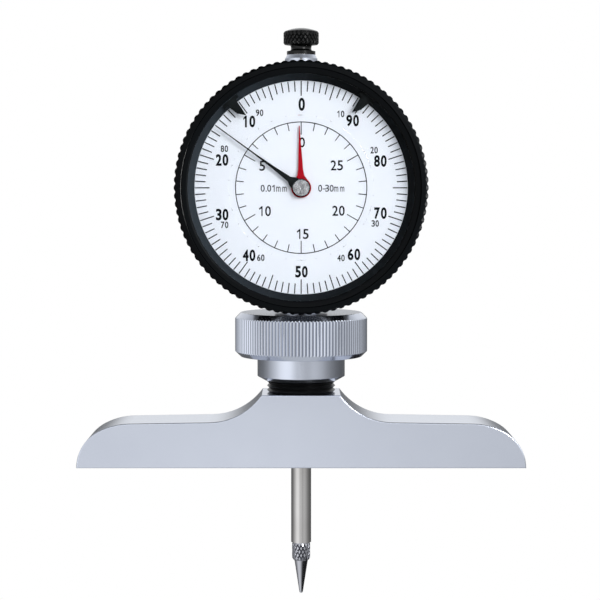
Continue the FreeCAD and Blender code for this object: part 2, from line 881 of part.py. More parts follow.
def rack_cutter():
    """Return the solid that leaves the rack's teeth on the spindle's left side."""
    slope = math.tan(math.radians(pressure_angle_deg))
    tip = rack_pitch_line + addendum_share * rack_module
    root = rack_pitch_line - dedendum_share * rack_module
    at_pitch = rack_pitch / 2 + tooth_thinning
    at_tip = at_pitch + 2 * (tip - rack_pitch_line) * slope
    at_root = at_pitch - 2 * (rack_pitch_line - root) * slope
    first = -int((travel + rack_margin) / rack_pitch)
    last = int(rack_margin / rack_pitch)
    outside = spindle_radius + overrun
    points = [(-outside, rack_arbor_height + (first - 1) * rack_pitch)]
    points.append((-tip, rack_arbor_height + (first - 1) * rack_pitch))
    for space in range(first, last + 1):
        height = rack_arbor_height + space * rack_pitch
        points.append((-tip, height - at_tip / 2))
        points.append((-root, height - at_root / 2))
        points.append((-root, height + at_root / 2))
        points.append((-tip, height + at_tip / 2))
    points.append((-tip, rack_arbor_height + (last + 1) * rack_pitch))
    points.append((-outside, rack_arbor_height + (last + 1) * rack_pitch))
    return prism_y(points, -outside, outside)


def make_spindle():
    """Return the spindle with its rack, its two end threads' bores and studs."""
    rod = rod_z(spindle_radius, spindle_bottom, spindle_top)
    rod = rod.fuse(rod_z(knob_stud_radius, spindle_top, spindle_top + knob_stud_length))
    rod = rod.cut(rack_cutter())
    stud_hole = contact_stud_radius + running_ease
    rod = rod.cut(rod_z(stud_hole, spindle_bottom - overrun, spindle_bottom + contact_stud_length))
    inner = spindle_radius - guide_pin_shank_depth
    outer = spindle_radius + overrun
    return rod.cut(rod_x(guide_pin_shank_radius + press_ease, inner, outer, 0, guide_pin_height))


def make_contact_point():
    """Return the contact point with its grip, its needle and its stud."""
    grip_bottom = spindle_bottom - contact_grip_length
    shoulder = grip_bottom - contact_shoulder_height
    tip_centre = -depth_at_rest + contact_tip_radius
    profile = [
        (0, tip_centre),
        (contact_tip_radius, tip_centre),
        (contact_needle_radius, shoulder),
        (contact_grip_radius, grip_bottom),
        (contact_grip_radius, spindle_bottom - contact_grip_chamfer),
        (contact_grip_radius - contact_grip_chamfer, spindle_bottom),
        (contact_stud_radius, spindle_bottom),
        (contact_stud_radius, spindle_bottom + contact_stud_length - loose_ease),
        (0, spindle_bottom + contact_stud_length - loose_ease),
    ]
    ball = Part.makeSphere(contact_tip_radius, vec(0, 0, tip_centre))
    return turned_z(profile).fuse(ball).removeSplitter()


def make_lift_knob():
    """Return the knob on top of the spindle."""
    flange_top = spindle_top + knob_flange_height
    neck_top = flange_top + knob_neck_height
    grip_top = neck_top + knob_grip_height
    top = grip_top + knob_dome_height
    bore = knob_stud_radius + running_ease
    bore_top = spindle_top + knob_stud_length + loose_ease
    flare = knob_neck_radius + knob_neck_flare
    below = [(bore, spindle_top), (knob_flange_radius, spindle_top), (knob_flange_radius, flange_top)]
    below.append((flare, flange_top))
    above = [(flare, neck_top), (knob_radius - knob_chamfer, neck_top)]
    above += [(knob_radius, neck_top + knob_chamfer), (knob_radius, grip_top)]
    edges = []
    for profile in (below, above):
        corners = [vec(r, 0, z) for r, z in profile]
        edges += [Part.LineSegment(a, b).toShape() for a, b in zip(corners, corners[1:])]
    neck_middle = vec(knob_neck_radius, 0, (flange_top + neck_top) / 2)
    neck = Part.Arc(vec(flare, 0, flange_top), neck_middle, vec(flare, 0, neck_top))
    edges.append(neck.toShape())
    dome_radius = (knob_radius**2 + knob_dome_height**2) / (2 * knob_dome_height)
    half_across = knob_radius / 2
    half_up = top - dome_radius + math.sqrt(dome_radius**2 - half_across**2)
    dome = Part.Arc(vec(knob_radius, 0, grip_top), vec(half_across, 0, half_up), vec(0, 0, top))
    edges.append(dome.toShape())
    inside = [vec(0, 0, top), vec(0, 0, bore_top), vec(bore, 0, bore_top), vec(bore, 0, spindle_top)]
    edges += [Part.LineSegment(a, b).toShape() for a, b in zip(inside, inside[1:])]
    wire = Part.Wire(Part.__sortEdges__(edges))
    return Part.Face(wire).revolve(vec(0, 0, 0), Z_AXIS, 360)


def make_guide_pin():
    """Return the pin that keeps the spindle from turning and pulls on the spring."""
    inner = spindle_radius - guide_pin_shank_depth
    collar = spindle_radius + running_ease
    shank = rod_x(guide_pin_shank_radius, inner, collar, 0, guide_pin_height)
    ring = rod_x(guide_pin_collar_radius, collar, collar + guide_pin_collar_length, 0, guide_pin_height)
    pin = rod_x(guide_pin_radius, collar, guide_pin_reach, 0, guide_pin_height)
    return shank.fuse(ring).fuse(pin).removeSplitter()


# Guide strip and springs


def guide_strip_span():
    """Return the lowest and highest heights of the guide strip's slot."""
    low = guide_pin_height - guide_pin_radius - guide_slot_over_travel
    high = guide_pin_height + travel + guide_pin_radius + guide_slot_over_travel
    return low, high


def guide_screw_places():
    """Return (across, height) of the guide strip's screws in the rear plate."""
    across = guide_strip_near + guide_strip_thickness / 2
    return [(across, head_height + case_inner_radius * up) for up in guide_screw_up_shares]


def make_guide_strip():
    """Return the slotted strip that guides the pin."""
    low, high = guide_strip_span()
    strip = box_between(
        (guide_strip_near, -guide_strip_half_width, low - guide_strip_end),
        (guide_strip_near + guide_strip_thickness, rear_plate_front, high + guide_strip_end),
    )
    half_slot = guide_pin_radius + guide_slot_ease
    slot = box_between(
        (guide_strip_near - overrun, -half_slot, low),
        (guide_strip_near + guide_strip_thickness + overrun, half_slot, high),
    )
    strip = strip.cut(slot)
    screw_hole = guide_screw_radius + press_ease
    for x, z in guide_screw_places():
        strip = strip.cut(rod_y(screw_hole, half_slot, rear_plate_front + overrun, x, z))
    return strip


def make_guide_strip_screws():
    """Return the two screws that hold the guide strip to the rear plate."""
    reach = rear_plate_thickness + (rear_plate_front - guide_pin_radius) / 2
    return Part.makeCompound(
        [
            slotted_screw_y(
                guide_screw_radius,
                plate_screw_head_radius,
                plate_screw_head_height,
                reach,
                x,
                rear_plate_back,
                z,
            )
            for x, z in guide_screw_places()
        ]
    )


def spring_post_height():
    """Return the height of the post that the return spring hangs on."""
    return stem_top + spring_post_rise


def make_spring_post():
    """Return the post that holds the return spring's lower end."""
    height = spring_post_height()
    return rod_y(spring_post_radius, case_floor, spring_post_reach, return_spring_offset, height)


def return_spring_loops():
    """Return the radii of the spring's lower and upper loops."""
    ease = return_spring_wire_radius + 2 * running_ease
    return spring_post_radius + ease, guide_pin_radius + ease


def return_spring_pitch():
    """Return the rise of one turn of the return spring."""
    low_loop, loop = return_spring_loops()
    return (guide_pin_height - loop - spring_post_height() - low_loop) / return_spring_turns


def make_return_spring():
    """Return the tension spring, coiled in half turns, with a loop at each end."""
    low_loop, loop = return_spring_loops()
    x = return_spring_offset
    radius = return_spring_radius
    bottom = spring_post_height() + low_loop
    top = guide_pin_height - loop
    half_turns = 2 * return_spring_turns
    rise = return_spring_pitch() / 2
    # The lower loop hangs round its post in the plane of the coil's back
    centre = vec(x, radius, spring_post_height())
    start = centre + vec(low_loop, 0, 0)
    edges = [
        Part.Arc(start, centre - vec(0, 0, low_loop), centre - vec(low_loop, 0, 0)),
        Part.Arc(
            centre - vec(low_loop, 0, 0),
            centre + vec(-low_loop * math.sin(math.pi / 4), 0, low_loop * math.sin(math.pi / 4)),
            centre + vec(0, 0, low_loop),
        ),
    ]
    quarter = radius * math.sin(math.pi / 4)
    rising = vec(x + quarter, quarter, bottom)
    edges.append(Part.Arc(vec(x, radius, bottom), rising, vec(x + radius, 0, bottom)))
    side = 1
    for half in range(half_turns):
        low = bottom + half * rise
        begin = vec(x + side * radius, 0, low)
        finish = vec(x - side * radius, 0, low + rise)
        swing = math.hypot(radius, rise / 2)
        edges.append(Part.Arc(begin, vec(x, -side * swing, low + rise / 2), finish))
        side = -side
    # The upper loop goes round the guide pin beside the coil
    end_x = x + side * radius
    turn = -side
    upper = vec(end_x, 0, guide_pin_height)
    edges.append(
        Part.Arc(vec(end_x, 0, top), upper + vec(0, turn * loop, 0), upper + vec(0, 0, loop))
    )
    edges.append(
        Part.Arc(
            upper + vec(0, 0, loop),
            upper + vec(0, -turn * loop * math.sin(math.pi / 4), loop * math.sin(math.pi / 4)),
            upper + vec(0, -turn * loop, 0),
        )
    )
    path = Part.Wire([edge.toShape() for edge in edges])
    heading = vec(0, 0, -1)
    section = Part.Wire(Part.makeCircle(return_spring_wire_radius, start, heading))
    return Part.Solid(path.makePipeShell([section], True, False))


def hairspring_arcs(offset):
    """Return the half turns of the hairspring's spiral, moved out by an offset."""
    inner = collet_radius + hairspring_pitch / 4 + loose_ease + hairspring_strip
    y = hairspring_front
    z = hairspring_arbor_height
    arcs = []
    for half in range(hairspring_half_turns):
        radius = inner + hairspring_pitch * half / 2 + offset
        side = 1 if half % 2 == 0 else -1
        shift = hairspring_pitch / 4 if half % 2 == 1 else -hairspring_pitch / 4
        x = hairspring_arbor_across + shift
        arcs.append(
            Part.Arc(
                vec(x + side * radius, y, z),
                vec(x, y, z + side * radius),
                vec(x - side * radius, y, z),
            )
        )
    return arcs


def make_hairspring():
    """Return the flat spiral spring of the backlash wheel."""
    outside = hairspring_arcs(hairspring_strip / 2)
    inside = hairspring_arcs(-hairspring_strip / 2)
    edges = [arc.toShape() for arc in outside + inside]
    edges.append(Part.LineSegment(outside[0].StartPoint, inside[0].StartPoint).toShape())
    edges.append(Part.LineSegment(outside[-1].EndPoint, inside[-1].EndPoint).toShape())
    wire = Part.Wire(Part.__sortEdges__(edges))
    return Part.Face(wire).extrude(vec(0, hairspring_width, 0))


def make_hairspring_stud():
    """Return the stud that holds the hairspring's outer end."""
    last = hairspring_arcs(hairspring_strip / 2)[-1].EndPoint
    side = 1 if last.x > hairspring_arbor_across else -1
    near = last.x + side * loose_ease
    far = near + side * hairspring_stud_size
    half = hairspring_stud_size / 2
    return box_between(
        (min(near, far), hairspring_front, last.z - half),
        (max(near, far), hairspring_back, last.z + half),
    ).fuse(
        box_between(
            (min(near, far), hairspring_front - plate_gap, last.z - half),
            (max(near, far), hairspring_front, last.z + half),
        )
    ).removeSplitter()


# Gear train pieces


def pivoted_arbor(start, end, x, z):
    """Return an arbor whose thin pivots reach into the jewels at both ends."""
    arbor = rod_y(arbor_radius, start + running_ease, end - running_ease, x, z)
    reach = pivot_length - running_ease
    return arbor.fuse(rod_y(pivot_radius, start - reach, end + reach, x, z))


def make_rack_pinion_arbor():
    """Return the arbor with the pinion that the rack turns."""
    x = rack_arbor_across
    z = rack_arbor_height
    arbor = pivoted_arbor(case_floor, rear_plate_front, x, z)
    points = gear_points(rack_pinion_teeth, rack_module, 0, x, z, 5)
    half = rack_pitch_line + running_ease
    return arbor.fuse(prism_y(points, -half, half))


def make_rack_wheel():
    """Return the large wheel on the rack pinion's arbor."""
    return spoked_wheel(
        wheel_teeth,
        wheel_module,
        rack_wheel_angle,
        wheel_front,
        wheel_back,
        rack_arbor_across,
        rack_arbor_height,
        arbor_radius + press_ease,
    )


def make_counter_pinion():
    """Return the pinion that drives the counter wheel."""
    x = rack_arbor_across
    z = rack_arbor_height
    points = gear_points(counter_pinion_teeth, counter_module, counter_pinion_angle, x, z, 4)
    pinion = prism_y(points, counter_wheel_front, counter_wheel_back)
    hub = rod_y(wheel_hub_radius / 2, counter_wheel_back, wheel_front, x, z)
    bore = rod_y(arbor_radius + press_ease, case_floor, wheel_front + overrun, x, z)
    return pinion.fuse(hub).cut(bore)


def make_centre_arbor():
    """Return the arbor of the long pointer, with its leaves."""
    z = head_height
    arbor = rod_y(centre_arbor_radius, long_pointer_front, front_plate_front - running_ease, 0, z)
    pivot_end = front_plate_front + pivot_length - running_ease
    arbor = arbor.fuse(rod_y(pivot_radius, wheel_back, pivot_end, 0, z))
    points = gear_points(centre_pinion_teeth, wheel_module, centre_pinion_angle, 0, z, 5)
    low = wheel_front - wheel_gap / 3
    high = wheel_back + wheel_gap / 3
    return arbor.fuse(prism_y(points, low, high))


def make_counter_tube():
    """Return the tube that turns the counter pointer round the centre arbor."""
    inner = centre_arbor_radius + running_ease
    back = counter_wheel_back + wheel_gap / 3
    return ring_y(tube_radius(), inner, counter_pointer_front, back, 0, head_height)


def make_counter_wheel():
    """Return the wheel of the counter pointer."""
    return spoked_wheel(
        counter_wheel_teeth,
        counter_module,
        counter_wheel_angle,
        counter_wheel_front,
        counter_wheel_back,
        0,
        head_height,
        tube_radius() + press_ease,
    )


def make_hairspring_wheel():
    """Return the wheel that takes up the backlash."""
    return spoked_wheel(
        wheel_teeth,
        wheel_module,
        hairspring_wheel_angle,
        wheel_front,
        wheel_back,
        hairspring_arbor_across,
        hairspring_arbor_height,
        arbor_radius + press_ease,
    )


def make_hairspring_arbor():
    """Return the arbor of the backlash wheel, with the hairspring's collet."""
    x = hairspring_arbor_across
    z = hairspring_arbor_height
    arbor = pivoted_arbor(case_floor, rear_plate_front, x, z)
    return arbor.fuse(rod_y(collet_radius, hairspring_front, hairspring_back, x, z))


# Pointers


def blade(hub_radius, reach, width_shares, angle_deg, hole, start, end):
    """Return a pointer: a round hub and a blade that narrows towards its tip."""
    left = [(-half * hub_radius, share * reach) for share, half in width_shares]
    right = [(-across, up) for across, up in reversed(left)]
    shoulder = hub_radius * math.sin(math.pi / 4)
    points = [(-shoulder, shoulder)] + left + right + [(shoulder, shoulder), (0, 0)]
    placed = [(x, head_height + up) for x, up in points]
    pointer = prism_y(placed, start, end).fuse(rod_y(hub_radius, start, end, 0, head_height))
    pointer = pointer.cut(rod_y(hole, start - overrun, end + overrun, 0, head_height))
    return pointer.removeSplitter().rotate(vec(0, 0, head_height), Y_AXIS, -angle_deg)


def make_long_pointer():
    """Return the black pointer, one turn for each millimetre."""
    return blade(
        long_pointer_hub_radius,
        long_pointer_reach,
        long_pointer_width_shares,
        360 * depth_at_rest % 360,
        centre_arbor_radius + press_ease,
        long_pointer_front,
        long_pointer_back,
    )


def make_counter_pointer():
    """Return the red pointer, one turn for the whole range."""
    return blade(
        counter_pointer_hub_radius,
        counter_pointer_reach,
        counter_pointer_width_shares,
        360 * depth_at_rest / inner_mark_count % 360,
        tube_radius() + press_ease,
        counter_pointer_front,
        counter_pointer_back,
    )


def make_pointer_cap():
    """Return the silver cap on the long pointer's hub."""
    cap_front = long_pointer_front - pointer_cap_height
    edge = pointer_cap_height / 4
    profile = [
        (0, long_pointer_front),
        (pointer_cap_radius, long_pointer_front),
        (pointer_cap_radius, cap_front + edge),
        (pointer_cap_radius - edge, cap_front),
        (pointer_cap_dimple_radius, cap_front),
        (0, cap_front + pointer_cap_dimple_depth),
    ]
    return turned_y(profile, 0, head_height)


# Bezel group


def scallop_prism(start, end):
    """Return a prism along Y whose rim has the bezel's scallops."""
    step = 2 * math.pi / bezel_scallop_count
    half_land = step * bezel_scallop_land_share / 2
    edges = []

    def rim(radius, angle):
        across, up = polar(radius, angle)
        return vec(across, start, head_height + up)

    for scallop in range(bezel_scallop_count):
        angle = scallop * step
        low = rim(bezel_radius, angle - half_land)
        high = rim(bezel_radius, angle + half_land)
        root = rim(bezel_radius - bezel_scallop_depth, angle + step / 2)
        following = rim(bezel_radius, angle + step - half_land)
        edges.append(Part.LineSegment(low, high).toShape())
        edges.append(Part.Arc(high, root, following).toShape())
    return Part.Face(Part.Wire(edges)).extrude(vec(0, end - start, 0))


def make_bezel():
    """Return the bezel: scalloped rim, crystal seat, marker groove and funnel."""
    lip_front = crystal_front - running_ease - crystal_lip_height
    shelf = (crystal_front + bezel_front) / 2
    skirt_top = case_front - spigot_height - loose_ease
    line_inner = bezel_line_radius
    line_outer = bezel_line_radius + bezel_line_width
    lip_edge = (groove_radius + crystal_radius) / 2
    profile = [
        (dial_opening_radius, dial_front),
        (funnel_front_radius, marker_back + loose_ease),
        (groove_radius, marker_back + loose_ease),
        (groove_radius, crystal_back),
        (crystal_radius + running_ease, crystal_back),
        (crystal_radius + running_ease, crystal_front - running_ease),
        (crystal_lip_radius, crystal_front - running_ease),
        (crystal_lip_radius, lip_front),
        (lip_edge, shelf - bezel_line_depth),
        (line_inner, bezel_front + bezel_line_width),
        (line_inner, bezel_front + bezel_line_depth * 2),
        (line_outer, bezel_front + bezel_line_depth * 2),
        (line_outer, bezel_front),
        (bezel_radius - bezel_edge_chamfer, bezel_front + bezel_line_width),
        (bezel_radius, bezel_front + bezel_edge_chamfer),
        (bezel_radius, bezel_back - bezel_edge_chamfer / 2),
        (bezel_radius - bezel_edge_chamfer / 2, bezel_back),
        (spigot_outer_radius + running_ease, bezel_back),
        (spigot_outer_radius + running_ease, skirt_top),
        (dial_opening_radius + dial_rim, skirt_top),
        (dial_opening_radius + dial_rim, dial_front),
    ]
    body = turned_y(profile, 0, head_height)
    body = body.common(scallop_prism(bezel_front - overrun, bezel_back + overrun))
    return body.cut(retaining_torus(retaining_wire_radius + 2 * running_ease))


def make_retaining_ring():
    """Return the open wire ring that keeps the bezel on the case."""
    ring = retaining_torus(retaining_wire_radius)
    gap = box_between(
        (-retaining_ring_gap_width / 2, bezel_front, head_height),
        (retaining_ring_gap_width / 2, case_front, head_height + case_radius),
    )
    return ring.cut(gap)


def make_crystal():
    """Return the crystal, thicker towards its middle."""
    step_front = crystal_front - crystal_step_height
    step_slope = crystal_step_height / 3
    profile = [
        (0, crystal_back),
        (crystal_radius, crystal_back),
        (crystal_radius, crystal_front),
        (crystal_step_radius + step_slope, crystal_front),
        (crystal_step_radius, step_front),
        (0, step_front),
    ]
    return turned_y(profile, 0, head_height)


def make_dial():
    """Return the dial disc."""
    rim = dial_opening_radius + dial_rim
    return ring_y(rim, dial_hole_radius, dial_front, dial_back, 0, head_height)


def dial_mark(radius_out, length, width, angle_deg):
    """Return one raised mark that runs inwards from a radius."""
    mark = box_between(
        (-width / 2, dial_front - dial_mark_height, head_height + radius_out - length),
        (width / 2, dial_front, head_height + radius_out),
    )
    return mark.rotate(vec(0, 0, head_height), Y_AXIS, -angle_deg)


def make_dial_graduations():
    """Return the marks of both scales and the inner scale's circle."""
    marks = []
    for mark in range(outer_mark_count):
        long_mark = mark % long_mark_every == 0
        length = outer_mark_long_length if long_mark else outer_mark_length
        angle_deg = 360 * mark / outer_mark_count
        marks.append(dial_mark(outer_mark_edge_radius, length, outer_mark_width, angle_deg))
    circle = ring_y(
        inner_circle_radius + inner_circle_width / 2,
        inner_circle_radius - inner_circle_width / 2,
        dial_front - dial_mark_height,
        dial_front,
        0,
        head_height,
    )
    for mark in range(inner_mark_count):
        long_mark = mark % long_mark_every == 0
        length = inner_mark_long_length if long_mark else inner_mark_length
        angle_deg = 360 * mark / inner_mark_count
        circle = circle.fuse(dial_mark(inner_circle_radius, length, inner_mark_width, angle_deg))
    return Part.makeCompound(marks + [circle.removeSplitter()])


def make_dial_ring():
    """Return the ring that holds the dial against the bezel."""
    outer = dial_opening_radius + dial_rim
    return ring_y(outer, outer - 3 * dial_rim, dial_back, dial_ring_back, 0, head_height)


def make_limit_marker(angle_deg, side):
    """Return a limit marker whose straight edge is at an angle left of the top.

    side is 1 where the body lies further left than the edge, and -1 further right.
    """
    foot_outer = groove_radius - loose_ease
    front = marker_front
    back = marker_back

    def at(radius, offset_deg):
        across, up = clock(radius, angle_deg + side * offset_deg)
        return across, head_height + up

    outline = [
        at(marker_foot_inner_radius + loose_ease, 0),
        at(marker_tip_radius, marker_tip_angle_deg),
        at(marker_shoulder_radius, marker_shoulder_angle_deg),
        at(marker_foot_inner_radius + loose_ease, marker_root_angle_deg),
    ]
    hand = prism_y(outline, front, back)
    ring = ring_y(foot_outer, marker_foot_inner_radius, front, back, 0, head_height)
    reach = foot_outer + overrun
    wedge = [
        (0, head_height),
        at(reach, -marker_foot_angle_deg),
        at(reach, marker_root_angle_deg + marker_foot_angle_deg),
    ]
    foot = ring.common(prism_y(wedge, front, back))
    return hand.fuse(foot).removeSplitter()


def make_all():
    """Return every node's name and shape."""
    return {
        "base": make_base(),
        "threaded_sleeve": make_threaded_sleeve(),
        "clamp_nut": make_clamp_nut(),
        "case_body": make_case_body(),
        "stem": make_stem(),
        "lower_bush": make_lower_bush(),
        "upper_bush": make_upper_bush(),
        "back_cover": make_back_cover(),
        "back_cover_screws": make_back_cover_screws(),
        "front_plate": make_front_plate(),
        "rear_plate": make_rear_plate(),
        "front_pillars": make_front_pillars(),
        "rear_pillars": make_rear_pillars(),
        "plate_screws": make_plate_screws(),
        "centre_bush": make_centre_bush(),
        "bearing_jewels": make_bearing_jewels(),
        "guide_strip": make_guide_strip(),
        "guide_strip_screws": make_guide_strip_screws(),
        "spring_post": make_spring_post(),
        "return_spring": make_return_spring(),
        "hairspring": make_hairspring(),
        "hairspring_stud": make_hairspring_stud(),
        "retaining_ring": make_retaining_ring(),
        "spindle": make_spindle(),
        "contact_point": make_contact_point(),
        "lift_knob": make_lift_knob(),
        "guide_pin": make_guide_pin(),
        "rack_pinion_arbor": make_rack_pinion_arbor(),
        "rack_wheel": make_rack_wheel(),
        "counter_pinion": make_counter_pinion(),
        "centre_arbor": make_centre_arbor(),
        "long_pointer": make_long_pointer(),
        "pointer_cap": make_pointer_cap(),
        "counter_wheel": make_counter_wheel(),
        "counter_tube": make_counter_tube(),
        "counter_pointer": make_counter_pointer(),
        "hairspring_wheel": make_hairspring_wheel(),
        "hairspring_arbor": make_hairspring_arbor(),
        "bezel": make_bezel(),
        "crystal": make_crystal(),
        "dial": make_dial(),
        "dial_graduations": make_dial_graduations(),
        "dial_ring": make_dial_ring(),
        "left_limit_marker": make_limit_marker(left_marker_angle_deg, 1),
        "right_limit_marker": make_limit_marker(-right_marker_angle_deg, -1),
    }


pieces = make_all()
for name, shape in pieces.items():
    shape.exportStep(f"parts/{name}.step")
    box = shape.BoundBox
    print(f"{name}: {len(shape.Solids)} solid(s), valid {shape.isValid()}, volume {shape.Volume:.3f}")
    print(f"  from {box.XMin:.2f} {box.YMin:.2f} {box.ZMin:.2f} to {box.XMax:.2f} {box.YMax:.2f} {box.ZMax:.2f}")
print(f"dial centre height {head_height:.3f}, top {spindle_top:.3f}")
print(f"rack arbor {rack_arbor_across:.4f} {rack_arbor_height:.4f}")
print(f"hairspring arbor {hairspring_arbor_across:.4f} {hairspring_arbor_height:.4f}")
spring_gap = return_spring_pitch() - 2 * return_spring_wire_radius
print(f"least gap between the return spring's curls {spring_gap:.3f}")
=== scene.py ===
"""Dresses the dial depth gauge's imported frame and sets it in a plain, pale studio."""

import logging
import math
from dataclasses import dataclass
from enum import Enum
from typing import Callable, Dict, Iterable, List, Optional, Sequence, Tuple

import bmesh
import bpy
from mathutils import Matrix, Vector


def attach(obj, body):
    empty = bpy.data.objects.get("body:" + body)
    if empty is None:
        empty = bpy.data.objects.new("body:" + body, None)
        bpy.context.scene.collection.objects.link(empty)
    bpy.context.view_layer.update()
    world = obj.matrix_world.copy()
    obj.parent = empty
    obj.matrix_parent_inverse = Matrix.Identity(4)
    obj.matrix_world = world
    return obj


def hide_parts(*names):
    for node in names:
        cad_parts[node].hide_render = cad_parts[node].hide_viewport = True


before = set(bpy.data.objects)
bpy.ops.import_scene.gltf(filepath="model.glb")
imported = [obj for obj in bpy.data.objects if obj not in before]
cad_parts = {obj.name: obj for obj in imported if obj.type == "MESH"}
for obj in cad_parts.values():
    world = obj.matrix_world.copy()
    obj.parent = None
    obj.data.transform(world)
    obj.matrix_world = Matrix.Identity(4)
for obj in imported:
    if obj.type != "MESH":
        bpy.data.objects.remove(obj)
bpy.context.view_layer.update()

LOG = logging.getLogger("depth_gauge")
MM = 0.001
# The dial's centre over the measuring face, in mm
DIAL_HEIGHT = 63.18
# Vertices nearer than this, in metres, become one: in a turned mesh, where a
# knurled band's ends meet, and at the hub that closes it
WELD, SEAM_WELD, HUB_WELD = 1e-7, 1e-5, 2e-6
# Edges that turn more than this many degrees stay crisp, on toothed rims and on diamonds
RIM_CREASE, KNURL_CREASE = 9.0, 20.0
# How far a diamond's top is drawn in on each side, as a share of the diamond's side
DIAMOND_INSET = 0.22
Point = Tuple[float, float]


class Axis(Enum):
    """The line that a turned piece is turned about."""

    SPINDLE = "spindle"
    DIAL = "dial"


class Weight(Enum):
    """How much a printed figure's strokes are thickened, as a share of its type size."""

    FINE = 0.006
    PLAIN = 0.014
    SMALL = 0.02
    BOLD = 0.037


# Colour and node helpers


def linear(code: str, alpha: float = 1.0) -> Tuple[float, float, float, float]:
    """Turn an sRGB hex code into Blender's linear colour.

    Args:
        code: six hex digits, with or without a leading #.
        alpha: the colour's alpha.

    Returns:
        The linear red, green, blue and alpha.
    """
    digits = code.lstrip("#")
    channels = []
    for start in (0, 2, 4):
        share = int(digits[start : start + 2], 16) / 255
        channels.append(share / 12.92 if share <= 0.04045 else ((share + 0.055) / 1.055) ** 2.4)
    return channels[0], channels[1], channels[2], alpha


def add_node(tree, kind: str, settings: Optional[Dict] = None):
    """Add a node and fill in its settings and inputs.

    Args:
        tree: the node tree.
        kind: the node's type name, without ShaderNode before it.
        settings: attributes by name, and inputs by socket name or number, each
            with a value or with the output socket that feeds it.

    Returns:
        The new node.
    """
    node = tree.nodes.new(f"ShaderNode{kind}")
    for key, value in (settings or {}).items():
        if isinstance(value, bpy.types.NodeSocket):
            tree.links.new(value, node.inputs[key])
        elif isinstance(key, int) or key in node.inputs:
            node.inputs[key].default_value = value
        else:
            setattr(node, key, value)
    return node


def computed(tree, operation: str, *inputs):
    """Combine sockets and numbers by an operation and return the result's socket."""
    return add_node(tree, "Math", {"operation": operation, **dict(enumerate(inputs))}).outputs[0]


def ranged(tree, value, start: float, end: float, low: float = 0.0, high: float = 1.0):
    """Map a socket's value from one range to another and return the result's socket."""
    settings = {"Value": value, "From Min": start, "From Max": end, "To Min": low, "To Max": high}
    return add_node(tree, "MapRange", settings).outputs["Result"]


def blended(tree, share, first, second):
    """Blend two colours, or their sockets, by a share and return the result's socket."""
    return add_node(tree, "Mix", {"data_type": "RGBA", 0: share, 6: first, 7: second}).outputs[2]


def add_noise(tree, place, size_mm: float, detail: float, roughness: float = 0.5):
    """Add a noise that varies from place to place.

    Args:
        tree: the node tree.
        place: the socket of the place.
        size_mm: how wide its patches are, in mm.
        detail: how many finer layers it has.
        roughness: how strong these are.

    Returns:
        The socket of the noise's value.
    """
    settings = {"Vector": place, "Scale": 1 / (size_mm * MM), "Detail": detail, "Roughness": roughness}
    return add_node(tree, "TexNoise", settings).outputs["Fac"]


def set_surface(tree, tone, texture, rough: Point, bump: Dict, settings: Dict) -> None:
    """End a material's nodes in its surface.

    Args:
        tree: the material's nodes.
        tone: the colour's socket.
        texture: the socket that moves the roughness and the bump.
        rough: the roughness, and how far the texture moves it to each side.
        bump: the bump's settings.
        settings: what else the surface is told.
    """
    middle, spread = rough
    bumped = add_node(tree, "Bump", {**bump, "Height": texture})
    surface = {
        **settings,
        "Base Color": tone,
        "Roughness": ranged(tree, texture, 0.0, 1.0, middle - spread, middle + spread),
        "Normal": bumped.outputs["Normal"],
    }
    shader = add_node(tree, "BsdfPrincipled", surface)
    add_node(tree, "OutputMaterial", {"Surface": shader.outputs["BSDF"]})


def new_material(name: str):
    """Start an empty material.

    Args:
        name: the finish's name.

    Returns:
        The material and its node tree.
    """
    material = bpy.data.materials.new(name)
    material.use_nodes = True
    material.node_tree.nodes.clear()
    return material, material.node_tree


# Finishes


@dataclass(frozen=True)
class MetalFinish:
    """Bare or plated metal with the grain that its last machining left."""

    name: str
    colour: str
    roughness: float
    roughness_spread: float = 0.06
    grain_mm: float = 0.12
    grain_stretch: Tuple[float, float, float] = (1.0, 1.0, 1.0)
    grain_height_mm: float = 0.002
    stain_and_sheen_colour: str = ""
    edge_mm: float = 0.0
    stain_and_sheen_mm: float = 9.0

    def material(self):
        """Build the metal: grain in the roughness and bump, a slow change of tone, softened edges."""
        material, tree = new_material(self.name)
        place = add_node(tree, "TexCoord").outputs["Object"]
        stretched = add_node(tree, "Mapping", {"Scale": self.grain_stretch, "Vector": place})
        grain = add_noise(tree, stretched.outputs["Vector"], self.grain_mm, detail=3.0, roughness=0.6)
        # A slow change of tone in patches of a second colour; on the pointers' cap the dark patches are
        # painted reflection
        patches = add_noise(tree, place, self.stain_and_sheen_mm, detail=2.0)
        tone = blended(tree, patches, linear(self.colour), linear(self.stain_and_sheen_colour or self.colour))
        bump = {"Strength": 0.6, "Distance": self.grain_height_mm * MM}
        if self.edge_mm:
            edge = add_node(tree, "Bevel", {"samples": 6, "Radius": self.edge_mm * MM})
            bump["Normal"] = edge.outputs["Normal"]
        set_surface(tree, tone, grain, (self.roughness, self.roughness_spread), bump, {"Metallic": 1.0})
        return material


@dataclass(frozen=True)
class CoatingFinish:
    """Paint, oxide or ink: an opaque film with a fine texture."""

    name: str
    colour: str
    second_colour: str
    roughness: float
    roughness_spread: float = 0.05
    texture_mm: float = 0.25
    texture_height_mm: float = 0.004
    specular: float = 0.5

    def material(self):
        """Build the film: two close tones, and its texture in the roughness and bump."""
        material, tree = new_material(self.name)
        place = add_node(tree, "TexCoord").outputs["Object"]
        texture = add_noise(tree, place, self.texture_mm, detail=2.0, roughness=0.55)
        tone = blended(tree, texture, linear(self.colour), linear(self.second_colour))
        bump = {"Strength": 0.5, "Distance": self.texture_height_mm * MM}
        gloss = {"Specular IOR Level": self.specular}
        set_surface(tree, tone, texture, (self.roughness, self.roughness_spread), bump, gloss)
        return material


